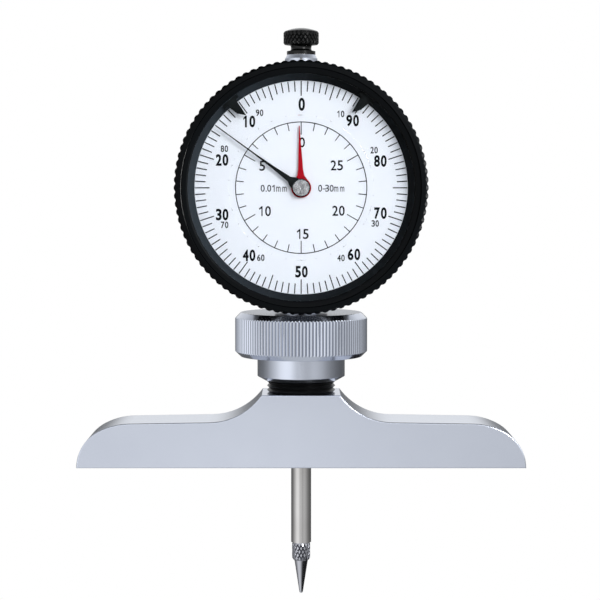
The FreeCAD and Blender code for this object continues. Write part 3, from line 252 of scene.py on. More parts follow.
@dataclass(frozen=True)
class ClearFinish:
    """A clear polished solid that lamps shine through."""

    name: str
    colour: str
    ior: float
    specular: float = 0.2

    def material(self):
        """Build the clear solid, open to the light that reaches what is behind it."""
        material, tree = new_material(self.name)
        colour = linear(self.colour)
        settings = {
            "Base Color": colour,
            "Roughness": 0.0,
            "IOR": self.ior,
            "Transmission Weight": 1.0,
            "Specular IOR Level": self.specular,
        }
        solid = add_node(tree, "BsdfPrincipled", settings).outputs["BSDF"]
        through = add_node(tree, "BsdfTransparent", {"Color": colour}).outputs["BSDF"]
        shadow = add_node(tree, "LightPath").outputs["Is Shadow Ray"]
        mix = add_node(tree, "MixShader", {0: shadow, 1: solid, 2: through})
        add_node(tree, "OutputMaterial", {"Surface": mix.outputs["Shader"]})
        return material


class Palette:
    """Every finish of the gauge, built once and shared."""

    # Ground steel under satin chrome plate: an even, cool sheen, faint lines along it, a bright broken edge
    BASE_PLATE = MetalFinish(
        "satin_chrome_on_ground_steel", "#DADFEB", 0.16, 0.02, 0.3, (0.15, 1, 1), 0.0006, "#D4D9E6", 0.3
    )
    # Turned steel under satin chrome plate: the same sheen with faint rings round it
    NUT_PLATE = MetalFinish(
        "satin_chrome_on_turned_steel", "#CED3DE", 0.14, 0.03, 0.1, (0.1, 0.1, 2.0), 0.001, "#C4C9D6"
    )
    # The same plate at the bottom of the knurl's grooves, darker: painted shade in the recesses
    GROOVE_PLATE = MetalFinish(
        "dusty_satin_chrome", "#9CA1AE", 0.24, 0.05, 0.1, (1, 1, 1), 0.001, "#9297A4"
    )
    # Blued steel with a film of oil: black, with small soft glints on its ridges
    BLACK_OXIDE = CoatingFinish("oiled_black_oxide", "#050607", "#0A0B0B", 0.3, 0.08, 0.2, 0.004, 0.3)
    # The same oxide, polished on the knob: bright points where its diamonds catch the lamp
    KNOB_OXIDE = CoatingFinish("polished_black_oxide", "#040505", "#080808", 0.17, 0.05, 0.15, 0.001, 0.3)
    # Stove enamel on turned aluminium: near black, a broad soft sheen
    BEZEL_ENAMEL = CoatingFinish("black_stove_enamel", "#040506", "#06080A", 0.2, 0.04, 0.3, 0.002, 0.05)
    # Flat paint of the bezel's inner wall: slate where the light falls on it
    INNER_WALL_PAINT = CoatingFinish("flat_slate_paint", "#121619", "#161A1D", 0.7, 0.05, 0.3, 0.002, 0.03)
    # Case enamel: the same black, a little flatter on the larger faces
    CASE_ENAMEL = CoatingFinish("black_case_enamel", "#0C0E10", "#111416", 0.42, 0.05, 0.4, 0.004, 0.2)
    # Dial lacquer: a clean, cool white without a visible grain
    DIAL_LACQUER = CoatingFinish("white_dial_lacquer", "#F4F7FB", "#F0F4F9", 0.5, 0.04, 0.5, 0.001, 0.15)
    # Pad-printed ink: flat black with a slightly broken edge tone
    PRINT_INK = CoatingFinish("black_pad_print_ink", "#0C0D10", "#15171A", 0.6, 0.05, 0.15, 0.001, 0.1)
    # Thin pad-printed ink of the captions: a shade lighter, for their fine strokes
    CAPTION_INK = CoatingFinish("thin_pad_print_ink", "#18191C", "#232529", 0.6, 0.05, 0.15, 0.001, 0.1)
    # Matt black paint on pressed aluminium, for the long pointer and the markers
    POINTER_BLACK = CoatingFinish(
        "matt_black_pointer_paint", "#090E0F", "#0E1415", 0.48, 0.05, 0.2, 0.002, 0.1
    )
    # Red paint on pressed aluminium, for the counter pointer
    POINTER_RED = CoatingFinish("red_pointer_paint", "#B2001A", "#A20014", 0.42, 0.05, 0.2, 0.002, 0.1)
    # Nickel plate of the pointers' cap; its dark mottle is painted reflection, patches in its colour that
    # stand for the surroundings it mirrors
    CAP_METAL = MetalFinish(
        "turned_nickel_plate", "#F0F0F0", 0.24, 0.1, 0.5, (1, 1, 1), 0.07, "#6E6E70", 0, 0.7
    )
    # Hardened rod, centreless ground: faint rings in a warm grey shine
    ROD_STEEL = MetalFinish(
        "centreless_ground_steel", "#D0CECD", 0.1, 0.03, 0.12, (0.15, 0.15, 1.6), 0.002, "#B4B1AE"
    )
    # The grooves between the point's diamonds, darker grey: painted shade in the recesses
    GROOVE_STEEL = MetalFinish(
        "oily_knurled_steel", "#84858B", 0.35, 0.06, 0.1, (1, 1, 1), 0.002, "#6C6D73"
    )
    # Turned and knurled tool steel: a bright needle with faint rings
    POINT_STEEL = MetalFinish(
        "turned_tool_steel", "#BBBCC2", 0.17, 0.05, 0.1, (0.2, 0.2, 1.5), 0.002, "#B4B5BC"
    )
    # Screws and pins of polished steel: small clear glints
    BRIGHT_STEEL = MetalFinish("polished_steel", "#C4C5C8", 0.2, 0.05, 0.1, (1, 1, 1), 0.001, "#B9BABE")
    # Drawn spring wire: a soft grey shine
    SPRING_WIRE = MetalFinish("drawn_spring_wire", "#9A9CA0", 0.3, 0.06, 0.05, (1, 1, 1), 0.001, "#8A8C90")
    # Rolled brass of plates, pillars and wheels: warm, with fine lines along it
    BRASS = MetalFinish("rolled_clock_brass", "#D7B36A", 0.3, 0.08, 0.2, (0.2, 1, 1), 0.002, "#C9A25A")
    # Turned aluminium of the ring behind the dial: pale and soft
    ALUMINIUM = MetalFinish("turned_aluminium", "#C9CBCE", 0.32, 0.06, 0.15, (1, 1, 1), 0.002, "#BFC1C5")
    # Synthetic ruby of the bearings: glossy, deep red
    RUBY = CoatingFinish("synthetic_ruby", "#8E1230", "#A21838", 0.08, 0.02, 0.3, 0.0005, 0.8)
    # Cast and polished acrylic: clear, with a weak shine
    CRYSTAL = ClearFinish("polished_acrylic", "#FCFDFF", 1.49)

    _built: Dict[str, object] = {}

    @classmethod
    def get(cls, finish):
        """Return a finish's material, building it on first use."""
        if finish.name not in cls._built:
            cls._built[finish.name] = finish.material()
        return cls._built[finish.name]


# Mesh helpers


def finish_piece(
    name: str,
    bm,
    finishes: Sequence,
    body: str,
    replaced: Sequence[str] = (),
    sharp_deg: float = 32.0,
):
    """Turn a bmesh into a finished piece that rides on a body.

    Args:
        name: the piece's name.
        bm: its mesh, in metres in the row frame.
        finishes: its finish, and a second one if faces have the material index 1.
        body: the body it moves with.
        replaced: the nodes it stands for.
        sharp_deg: edges that turn more than this stay crisp.

    Returns:
        The new object.
    """
    mesh = bpy.data.meshes.new(name)
    bm.to_mesh(mesh)
    bm.free()
    for polygon in mesh.polygons:
        polygon.use_smooth = True
    mesh.set_sharp_from_angle(angle=math.radians(sharp_deg))
    for finish in finishes:
        mesh.materials.append(Palette.get(finish))
    piece = bpy.data.objects.new(name, mesh)
    bpy.context.scene.collection.objects.link(piece)
    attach(piece, body)
    if replaced:
        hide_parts(*replaced)
    LOG.info("%s: %d faces, rides on %s", name, len(mesh.polygons), body)
    return piece


def dress(nodes: Iterable[str], finish) -> None:
    """Give nodes of the frame a finish in place of their plain one.

    Args:
        nodes: the nodes' names.
        finish: the finish.
    """
    for name in nodes:
        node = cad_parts[name]
        node.data.materials.clear()
        node.data.materials.append(Palette.get(finish))
        LOG.info("%s wears %s", name, finish.name)


def turned(profile: Sequence[Point], axis: Axis, steps: int, rounding: float = 0.0, segments: int = 3):
    """Turn a closed profile about the spindle's or the dial's axis.

    Args:
        profile: (radius, station) pairs in mm; the station is a height on the
            spindle's axis, or a depth on the dial's.
        axis: the line to turn about.
        steps: how many steps the full turn has.
        rounding: the radius that softens every corner off the axis, in mm.
        segments: how many steps such a corner has.

    Returns:
        The closed mesh.
    """
    bm = bmesh.new()
    corners = []
    for radius, station in profile:
        place = (radius, 0.0, station) if axis is Axis.SPINDLE else (radius, station, DIAL_HEIGHT)
        corners.append(bm.verts.new(Vector(place) * MM))
    on_axis = profile[0][0] == 0 and profile[-1][0] == 0
    pairs = list(zip(corners, corners[1:]))
    if not on_axis:
        pairs.append((corners[-1], corners[0]))
    for pair in pairs:
        bm.edges.new(pair)
    if rounding:
        soft = [v for v, (radius, _) in zip(corners, profile) if radius > 0]
        settings = {"offset_type": "OFFSET", "profile": 0.5, "material": -1, "clamp_overlap": True}
        bmesh.ops.bevel(
            bm, geom=soft, offset=rounding * MM, segments=segments, affect="VERTICES", **settings
        )
    line = Vector((0, 0, 1)) if axis is Axis.SPINDLE else Vector((0, 1, 0))
    centre = Vector((0, 0, 0 if axis is Axis.SPINDLE else DIAL_HEIGHT)) * MM
    wire = bm.verts[:] + bm.edges[:]
    bmesh.ops.spin(bm, geom=wire, cent=centre, axis=line, angle=math.tau, steps=steps, use_merge=True)
    bmesh.ops.remove_doubles(bm, verts=bm.verts[:], dist=WELD)
    bmesh.ops.recalc_face_normals(bm, faces=bm.faces[:])
    return bm


def cut_rim(bm, axis: Axis, limit: Callable[[float, float], float]) -> None:
    """Draw the vertices of a turned mesh inwards to a rim that varies round it.

    Args:
        bm: the turned mesh.
        axis: the line it was turned about.
        limit: gives the largest radius in mm at an angle in radians and a station in mm.
    """
    for vert in bm.verts:
        if axis is Axis.SPINDLE:
            across, up, station = vert.co.x, vert.co.y, vert.co.z
        else:
            across, up, station = vert.co.x, vert.co.z - DIAL_HEIGHT * MM, vert.co.y
        radius = math.hypot(across, up)
        largest = limit(math.atan2(up, across), station / MM) * MM
        if radius > largest:
            share = largest / radius
            vert.co.x *= share
            if axis is Axis.SPINDLE:
                vert.co.y *= share
            else:
                vert.co.z = DIAL_HEIGHT * MM + up * share


def cut_level(bm, level: float) -> None:
    """Cut a ring of edges round a piece on the spindle's axis at a height in mm."""
    everything = bm.verts[:] + bm.edges[:] + bm.faces[:]
    at = Vector((0, 0, level * MM))
    bmesh.ops.bisect_plane(bm, geom=everything, plane_co=at, plane_no=Vector((0, 0, 1)))


def trim(bm, at: Vector, outwards: Vector, snap: float = 1e-6) -> None:
    """Cut away what lies beyond a plane.

    Args:
        bm: the mesh.
        at: a point of the plane.
        outwards: the side that goes.
        snap: how near the plane a vertex counts as lying in it.
    """
    everything = bm.verts[:] + bm.edges[:] + bm.faces[:]
    bmesh.ops.bisect_plane(
        bm, geom=everything, dist=snap, plane_co=at, plane_no=outwards, clear_outer=True
    )


def add_diamonds(bm, radius: float, ends: Point, count: int, rise: float, depth: float) -> None:
    """Add a closed band of raised diamonds, as crossed knurling wheels leave them.

    The grooves between the diamonds get the material index 1.

    Args:
        bm: the turned piece that gets the band.
        radius: the radius over the diamonds, in mm.
        ends: the heights of the band's lower and upper end, in mm.
        count: how many diamonds go round it.
        rise: a diamond's height, in mm.
        depth: how deep the grooves between them are, in mm.
    """
    low, high = ends
    band = bmesh.new()
    # A few cells more than it takes, so that the turned grid covers the band's corners
    cells = count + math.ceil((high - low) / rise) + 3
    bmesh.ops.create_grid(band, x_segments=cells, y_segments=cells, size=cells / 2)
    bmesh.ops.transform(band, matrix=Matrix.Rotation(math.radians(45), 4, "Z"), verts=band.verts[:])
    inset = bmesh.ops.inset_individual(
        band, faces=band.faces[:], thickness=DIAMOND_INSET, depth=depth, use_even_offset=True
    )
    for face in inset["faces"]:
        face.material_index = 1
    # A diamond's diagonal is the pattern's unit both ways
    diagonal = math.sqrt(2)
    half_round = count / 2 * diagonal
    half_high = (high - low) / rise / 2 * diagonal
    for side in (1, -1):
        trim(band, Vector((side * half_round, 0, 0)), Vector((side, 0, 0)))
        trim(band, Vector((0, side * half_high, 0)), Vector((0, side, 0)))
    for vert in band.verts:
        angle = vert.co.x / half_round * math.pi
        reach = (radius - depth + vert.co.z) * MM
        height = (low + high) / 2 + vert.co.y / diagonal * rise
        vert.co = Vector((reach * math.cos(angle), reach * math.sin(angle), height * MM))
    bmesh.ops.remove_doubles(band, verts=band.verts[:], dist=SEAM_WELD)
    rims = [edge for edge in band.edges if edge.is_boundary]
    closed = bmesh.ops.extrude_edge_only(band, edges=rims)
    for vert in (item for item in closed["geom"] if isinstance(item, bmesh.types.BMVert)):
        vert.co = Vector((0, 0, vert.co.z))
    bmesh.ops.remove_doubles(band, verts=band.verts[:], dist=HUB_WELD)
    bmesh.ops.recalc_face_normals(band, faces=band.faces[:])
    join(bm, band)


def taper_rim(bm, radius: float, ends: Point, width: float) -> None:
    """Chamfer both ends of a knurled band by drawing its diamonds in.

    Args:
        bm: the piece on the spindle's axis.
        radius: the radius over the diamonds, in mm.
        ends: the heights of the band's lower and upper end, in mm.
        width: the chamfer's width, in mm.
    """
    low, high = ends
    slack = 0.01

    def largest(_: float, height: float) -> float:
        """Return the chamfered radius at a height."""
        from_end = min(height - low, high - height)
        return radius - max(0.0, width - from_end) if from_end > -slack else radius

    cut_rim(bm, Axis.SPINDLE, largest)


def join(bm, other) -> None:
    """Add another mesh's shell to a mesh and drop the other."""
    store = bpy.data.meshes.new("shell")
    other.to_mesh(store)
    other.free()
    bm.from_mesh(store)
    bpy.data.meshes.remove(store)


def thicken_strokes(bm, amount: float) -> None:
    """Move a flat character's outline outwards.

    Args:
        bm: the character, in the XY plane.
        amount: how far each edge of the outline moves.
    """
    bmesh.ops.remove_doubles(bm, verts=bm.verts[:], dist=SEAM_WELD)
    # Sharp corners move less than a full mitre, or they would grow spikes
    mitre_floor = 0.6
    moves = {}
    for vert in bm.verts:
        sides = []
        for edge in vert.link_edges:
            if edge.is_boundary:
                along = edge.verts[1].co - edge.verts[0].co
                out = Vector((along.y, -along.x, 0)).normalized()
                inside = edge.link_faces[0].calc_center_median() - edge.verts[0].co
                sides.append(-out if out.dot(inside) > 0 else out)
        if len(sides) == 2:
            both = sides[0] + sides[1]
            moves[vert] = both * (amount / max(mitre_floor, 1 + sides[0].dot(sides[1])))
    for vert, move in moves.items():
        vert.co += move


# Sub-assemblies


@dataclass
class Base:
    """The bridge and the split, threaded sleeve that stands in its hub."""

    def build(self) -> None:
        """Dress the bridge and the sleeve."""
        dress(["base"], Palette.BASE_PLATE)
        dress(["threaded_sleeve"], Palette.BLACK_OXIDE)


@dataclass
class ClampNut:
    """The knurled nut with its collar. Sizes in mm."""

    foot: float = 19.25
    seat: float = 24.75
    top: float = 34.8
    collar_radius: float = 10.0
    collar_foot_radius: float = 8.2
    collar_chamfer: float = 1.0
    radius: float = 15.1
    chamfer: float = 1.3
    lower_chamfer: float = 1.235
    bore: float = 7.9
    bore_top: float = 28.6
    cone_top: Point = (5.3, 32.0)
    mouth: float = 4.6
    ridges: int = 120
    steps_per_ridge: int = 8
    land_share: float = 0.14
    groove_depth: float = 0.25
    # The share of a groove's depth, from its bottom, that gets the darker plate of painted shade
    painted_shade_share: float = 0.3
    rounding: float = 0.07
    # Shares of a chamfer's height at which it gets rings, as the grooves run out on it
    runout: Tuple[float, ...] = (0.1, 0.2, 0.3)

    def rim(self, angle: float, _: float) -> float:
        """Return the rim's radius at an angle: flat ridges with V grooves between them."""
        share = abs((angle / math.tau * self.ridges + 0.5) % 1.0 - 0.5)
        fall = (share - self.land_share / 2) / (0.5 - self.land_share / 2)
        return self.radius - self.groove_depth * max(0.0, fall)

    def build(self) -> None:
        """Turn the nut and knurl its rim."""
        outer = self.radius - self.chamfer
        profile = [
            (self.bore, self.foot),
            (self.collar_foot_radius, self.foot),
            (self.collar_radius, self.foot + self.collar_chamfer),
            (self.collar_radius, self.seat),
            (outer, self.seat),
            (self.radius, self.seat + self.lower_chamfer),
            (self.radius, self.top - self.chamfer),
            (outer, self.top),
            (self.mouth, self.top),
            (self.mouth, self.cone_top[1]),
            self.cone_top,
            (self.bore, self.bore_top),
        ]
        bm = turned(profile, Axis.SPINDLE, self.ridges * self.steps_per_ridge, self.rounding, 2)
        for share in self.runout:
            cut_level(bm, self.seat + self.lower_chamfer * (1 - share))
            cut_level(bm, self.top - self.chamfer * (1 - share))
        cut_rim(bm, Axis.SPINDLE, self.rim)
        # Faces near the bottom of the grooves get the darker plate: painted shade in the recesses
        bottom = self.radius - self.groove_depth
        for face in bm.faces:
            middle = face.calc_center_median() / MM
            along = self.seat + self.lower_chamfer < middle.z < self.top - self.chamfer
            reach = math.hypot(middle.x, middle.y) - bottom
            face.material_index = 1 if along and abs(reach) < self.groove_depth * self.painted_shade_share else 0
        looks = (Palette.NUT_PLATE, Palette.GROOVE_PLATE)
        finish_piece("clamp_nut_knurled", bm, looks, "clamp_nut", ["clamp_nut"], RIM_CREASE)


@dataclass
class SpindleGroup:
    """The rod, its knurled contact point and the lifting knob. Sizes in mm."""

    rod_foot: float = -18.2
    grip_radius: float = 2.08
    grip_foot: float = -22.3
    grip_diamonds: int = 16
    grip_rise: float = 1.62
    grip_depth: float = 0.2
    needle_radius: float = 1.48
    needle_top: float = -22.85
    tip_radius: float = 0.42
    tip: float = -30.15
    knob_radius: float = 4.0
    knob_foot: float = 93.33
    flange_radius: float = 3.25
    flange_height: float = 0.77
    neck_radius: float = 2.32
    neck_height: float = 1.46
    neck_flare: float = 0.4
    knob_grip_height: float = 2.98
    dome_height: float = 0.78
    knob_diamonds: int = 26
    knob_rise: float = 1.45
    knob_depth: float = 0.2
    knob_rounding: float = 0.06
    throat: float = 0.12
    grip_gap: float = 0.02
    grip_taper: float = 0.28
    knob_taper: float = 0.25
    steps: int = 96
    arc_steps: int = 6
    dome_steps: int = 8

    def contact_point(self) -> None:
        """Turn the contact point and knurl its grip."""
        core = self.grip_radius - self.grip_depth
        middle = self.tip + self.tip_radius
        profile = [(0.0, self.rod_foot), (core, self.rod_foot), (core, self.grip_foot)]
        profile.append((self.needle_radius + self.throat, self.grip_foot - self.throat))
        profile.append((self.needle_radius, self.needle_top))
        lean = math.atan2(self.needle_radius - self.tip_radius, self.needle_top - middle)
        for step in range(self.arc_steps + 1):
            angle = -lean - (math.pi / 2 - lean) * step / self.arc_steps
            across = self.tip_radius * math.cos(angle) if step < self.arc_steps else 0.0
            profile.append((across, middle + self.tip_radius * math.sin(angle)))
        bm = turned(profile, Axis.SPINDLE, self.steps)
        grip = (self.grip_foot, self.rod_foot - self.grip_gap)
        add_diamonds(bm, self.grip_radius, grip, self.grip_diamonds, self.grip_rise, self.grip_depth)
        taper_rim(bm, self.grip_radius, grip, self.grip_taper)
        # The grooves between the diamonds get the darker steel: painted shade
        looks = (Palette.POINT_STEEL, Palette.GROOVE_STEEL)
        finish_piece(
            "contact_point_knurled", bm, looks, "spindle", ["contact_point"], KNURL_CREASE
        )

    def lift_knob(self) -> None:
        """Turn the lifting knob and knurl its head."""
        neck = self.knob_foot + self.flange_height
        head = neck + self.neck_height
        shoulder = head + self.knob_grip_height
        core = self.knob_radius - self.knob_depth
        profile = [(0.0, self.knob_foot), (self.flange_radius, self.knob_foot), (self.flange_radius, neck)]
        for step in range(self.arc_steps + 1):
            turn = math.pi * step / self.arc_steps
            flare = self.neck_flare * (1 - math.sin(turn)) ** 2
            profile.append((self.neck_radius + flare, neck + self.neck_height * step / self.arc_steps))
        profile += [(core, head), (core, shoulder)]
        dome_radius = (core**2 + self.dome_height**2) / (2 * self.dome_height)
        reach = math.asin(core / dome_radius)
        for step in range(1, self.dome_steps + 1):
            angle = reach * (1 - step / self.dome_steps)
            across = dome_radius * math.sin(angle) if step < self.dome_steps else 0.0
            profile.append((across, shoulder + dome_radius * (math.cos(angle) - math.cos(reach))))
        bm = turned(profile, Axis.SPINDLE, self.steps, self.knob_rounding, 2)
        grip = (head + self.grip_gap, shoulder)
        add_diamonds(bm, self.knob_radius, grip, self.knob_diamonds, self.knob_rise, self.knob_depth)
        taper_rim(bm, self.knob_radius, grip, self.knob_taper)
        looks = (Palette.KNOB_OXIDE, Palette.BLACK_OXIDE)
        finish_piece("lift_knob_knurled", bm, looks, "spindle", ["lift_knob"], KNURL_CREASE)

    def build(self) -> None:
        """Dress the rod and build the knurled pieces."""
        dress(["spindle"], Palette.ROD_STEEL)
        dress(["guide_pin"], Palette.BRIGHT_STEEL)
        self.contact_point()
        self.lift_knob()


@dataclass
class Head:
    """The case with its cover, stem and bushes, and the movement inside it."""

    def build(self) -> None:
        """Dress the case, its fittings and every piece of the movement."""
        dress(["case_body", "back_cover"], Palette.CASE_ENAMEL)
        dress(["upper_bush", "stem"], Palette.NUT_PLATE)
        dress(["lower_bush", "centre_bush", "hairspring_stud", "counter_tube"], Palette.BRASS)
        dress(["front_plate", "rear_plate", "front_pillars", "rear_pillars"], Palette.BRASS)
        dress(["rack_wheel", "counter_wheel", "hairspring_wheel"], Palette.BRASS)
        dress(["bearing_jewels"], Palette.RUBY)
        dress(["back_cover_screws", "plate_screws", "guide_strip_screws"], Palette.BRIGHT_STEEL)
        dress(["guide_strip", "spring_post", "counter_pinion"], Palette.BRIGHT_STEEL)
        dress(["rack_pinion_arbor", "centre_arbor", "hairspring_arbor"], Palette.BRIGHT_STEEL)
        dress(["return_spring", "hairspring", "retaining_ring"], Palette.SPRING_WIRE)


@dataclass(frozen=True)
class Figure:
    """One printed number or caption: its middle from the dial's centre and its size, in mm."""

    text: str
    across: float
    up: float
    height: float
    cell: float
    weight: Weight


@dataclass(frozen=True)
class Glyph:
    """A character's place in its line: the cells it takes, and the box its ink fills."""

    cells: float = 1.0
    left: float = 0.07
    right: float = 0.93
    low: float = 0.0
    high: float = 1.0


# The characters that don't fill a plain cell
GLYPHS = {
    "1": Glyph(left=0.16, right=0.68),
    "m": Glyph(cells=1.35, left=0.03, right=0.97, high=0.74),
    "-": Glyph(cells=0.55, low=0.34, high=0.46),
    ".": Glyph(cells=0.42, left=0.1, right=0.42, high=0.15),
}


@dataclass
class DialGroup:
    """The bezel with the crystal, the dial and its print. Sizes in mm."""

    bezel_radius: float = 28.2
    rim_ends: Point = (-12.45, -8.75)
    scallops: int = 96
    steps_per_scallop: int = 8
    scallop_land: float = 0.4
    scallop_depth: float = 0.3
    rounding: float = 0.05
    dial_front: float = -9.4
    print_height: float = 0.04
    # The inner wall, and the seat that the crystal is pressed into
    foot_radius: float = 23.7
    wall_radius: float = 25.25
    wall_front: float = -11.2
    seat_radius: float = 25.73
    seat_ends: Point = (-11.3, -12.33)
    # Where the wall's flat paint ends, and how far a painted face may lie off the wall and the dial
    paint_front: float = -11.25
    wall_slack: float = 0.02
    dial_slack: float = 0.001
    # The ring's front, from the lip over the crystal out to the rim, with the line turned in it
    front: Tuple[Point, ...] = (
        (25.15, -12.33), (25.15, -12.63), (25.5, -12.825), (26.5, -12.93), (26.5, -12.75),
        (26.62, -12.75), (26.62, -13.05), (27.6, -12.93),
    )
    # Its back, from the rim to the dial, with the room for the retaining ring
    back: Tuple[Point, ...] = ((27.9, -8.45), (25.93, -8.45), (25.93, -10.1), (24.6, -10.1), (24.6, -9.4))

    def figures(self) -> List[Figure]:
        """Return the dial's numbers: the bold scale, its complement and the inner scale."""
        bold = {
            "0": (0.12, 18.5), "10": (-11.6, 14.7), "20": (-17.6, 6.18), "30": (-17.61, -5.96),
            "40": (-11.62, -15.04), "50": (0.06, -18.7), "60": (11.77, -14.82),
            "70": (17.66, -5.64), "80": (17.61, 5.94), "90": (11.43, 14.9),
        }
        small = {
            "90": (-9.23, 16.62), "80": (-17.07, 8.67), "70": (-17.05, -8.24),
            "60": (-9.01, -15.57), "40": (8.89, -15.63), "30": (16.5, -7.93), "20": (16.21, 8.36),
            "10": (8.76, 16.37),
        }
        inner = {
            "0": (0.2, 10.07), "5": (-8.66, 4.88), "10": (-8.12, -5.18), "15": (0.29, -10.27),
            "20": (8.31, -5.1), "25": (7.93, 4.98),
        }
        # Each scale's type: a number's height, a character's width and the strokes' weight
        plain, zero = (2.6, 1.5, Weight.BOLD), (2.9, 1.66, Weight.BOLD)
        placed = [Figure(text, *at, *(zero if text == "0" else plain)) for text, at in bold.items()]
        for scale, style in ((small, (1.46, 0.88, Weight.SMALL)), (inner, (2.24, 1.48, Weight.PLAIN))):
            placed += [Figure(text, *at, *style) for text, at in scale.items()]
        return placed

    def captions(self) -> List[Figure]:
        """Return the plain captions that give the scale's division and range."""
        return [
            Figure("0.01mm", -5.95, -0.1, 1.52, 1.02, Weight.FINE),
            Figure("0-30mm", 6.85, -0.1, 1.52, 1.0, Weight.FINE),
        ]

    def glyph(self, letter: str) -> Glyph:
        """Return where a character sits in its line."""
        return GLYPHS.get(letter, Glyph())

    def character(self, letter: str, weight: Weight):
        """Return a character as a flat mesh.

        Args:
            letter: the character.
            weight: how heavy its strokes are.

        Returns:
            A bmesh in the XY plane.
        """
        bm = bmesh.new()
        if letter == "1":
            # A bar with a flag, wider in the bold scale
            bar = 0.5 if weight is Weight.BOLD else 0.66
            corners = ((bar, 0), (1, 0), (1, 1), (bar + 0.12, 1), (0, 0.78), (0, 0.62), (bar, 0.76))
            bm.faces.new([bm.verts.new((across, up, 0)) for across, up in corners])
            return bm
        curve = bpy.data.curves.new("character", "FONT")
        curve.body = letter
        curve.resolution_u = 6
        text = bpy.data.objects.new("character", curve)
        flat = bpy.data.meshes.new_from_object(text)
        bm.from_mesh(flat)
        bpy.data.objects.remove(text)
        bpy.data.curves.remove(curve)
        bpy.data.meshes.remove(flat)
        thicken_strokes(bm, weight.value)
        return bm

    def set_character(self, layer, letter: str, figure: Figure, start: float) -> None:
        """Set one character of a figure on the dial.

        Args:
            layer: the mesh of the print, still flat on the dial's face.
            letter: the character.
            figure: the figure it belongs to.
            start: its cell's left edge from the dial's centre, in mm.
        """
        bm = self.character(letter, figure.weight)
        glyph = self.glyph(letter)
        low = [min(vert.co[axis] for vert in bm.verts) for axis in (0, 1)]
        size = [max(vert.co[axis] for vert in bm.verts) - low[axis] for axis in (0, 1)]
        for vert in bm.verts:
            share = (vert.co.x - low[0]) / size[0]
            across = start + figure.cell * (glyph.left + share * (glyph.right - glyph.left))
            rise = glyph.low + (vert.co.y - low[1]) / size[1] * (glyph.high - glyph.low)
            up = DIAL_HEIGHT + figure.up + (rise - 0.5) * figure.height
            vert.co = Vector((across, self.dial_front, up)) * MM
        join(layer, bm)

    def print_figures(self, name: str, figures: Sequence[Figure], finish) -> None:
        """Print figures on the dial as one thin layer of ink.

        Args:
            name: the piece's name.
            figures: what is printed, and where.
            finish: the ink.
        """
        layer = bmesh.new()
        for figure in figures:
            cells = sum(self.glyph(letter).cells for letter in figure.text)
            start = figure.across - cells * figure.cell / 2
            for letter in figure.text:
                self.set_character(layer, letter, figure, start)
                start += self.glyph(letter).cells * figure.cell
        bmesh.ops.remove_doubles(layer, verts=layer.verts[:], dist=WELD)
        raised = bmesh.ops.extrude_face_region(layer, geom=layer.faces[:])
        moved = [item for item in raised["geom"] if isinstance(item, bmesh.types.BMVert)]
        bmesh.ops.translate(layer, verts=moved, vec=Vector((0, -self.print_height * MM, 0)))
        bmesh.ops.recalc_face_normals(layer, faces=layer.faces[:])
        finish_piece(name, layer, [finish], "bezel")

    def rim(self, angle: float, _: float) -> float:
        """Return the bezel's radius at an angle: narrow lands with hollows between them."""
        share = abs((angle / math.tau * self.scallops + 0.5) % 1.0 - 0.5)
        hollow = max(0.0, share - self.scallop_land / 2) / (0.5 - self.scallop_land / 2)
        return self.bezel_radius - self.scallop_depth * (1 - (1 - hollow) ** 2)

    def bezel(self) -> None:
        """Turn the bezel ring, cut the hollows round its rim and paint its inner wall."""
        seat_back, seat_front = self.seat_ends
        profile = [(self.foot_radius, self.dial_front), (self.wall_radius, self.wall_front)]
        profile += [(self.wall_radius, seat_back), (self.seat_radius, seat_back)]
        profile += [(self.seat_radius, seat_front), *self.front]
        profile += [(self.bezel_radius, station) for station in self.rim_ends]
        profile += self.back
        bm = turned(profile, Axis.DIAL, self.scallops * self.steps_per_scallop, self.rounding, 1)
        cut_rim(bm, Axis.DIAL, self.rim)
        for face in bm.faces:
            middle = face.calc_center_median()
            reach = math.hypot(middle.x, middle.z - DIAL_HEIGHT * MM)
            on_wall = reach < (self.wall_radius + self.wall_slack) * MM
            over_dial = middle.y < (self.dial_front + self.dial_slack) * MM
            face.material_index = 1 if on_wall and over_dial and middle.y > self.paint_front * MM else 0
        looks = (Palette.BEZEL_ENAMEL, Palette.INNER_WALL_PAINT)
        finish_piece("bezel_ring", bm, looks, "bezel", ["bezel"], RIM_CREASE)

    def build(self) -> None:
        """Dress the ring, the crystal and the dial, and print the figures."""
        self.bezel()
        dress(["crystal"], Palette.CRYSTAL)
        dress(["dial"], Palette.DIAL_LACQUER)
        dress(["dial_graduations"], Palette.PRINT_INK)
        dress(["dial_ring"], Palette.ALUMINIUM)
        self.print_figures("dial_numbers", self.figures(), Palette.PRINT_INK)
        self.print_figures("dial_captions", self.captions(), Palette.CAPTION_INK)


@dataclass
class Pointers:
    """The pointers, the cap over them and the limit markers."""

    def build(self) -> None:
        """Dress the pointers and the markers."""
        dress(["long_pointer", "left_limit_marker", "right_limit_marker"], Palette.POINTER_BLACK)
        dress(["counter_pointer"], Palette.POINTER_RED)
        dress(["pointer_cap"], Palette.CAP_METAL)


@dataclass(frozen=True)
class Lamp:
    """One soft lamp: where it stands, its size in metres, its power, and what its flags leave lit."""

    name: str
    place: Tuple[float, float, float]
    size: Tuple[float, float]
    power: float
    lit: Tuple[str, ...] = ()


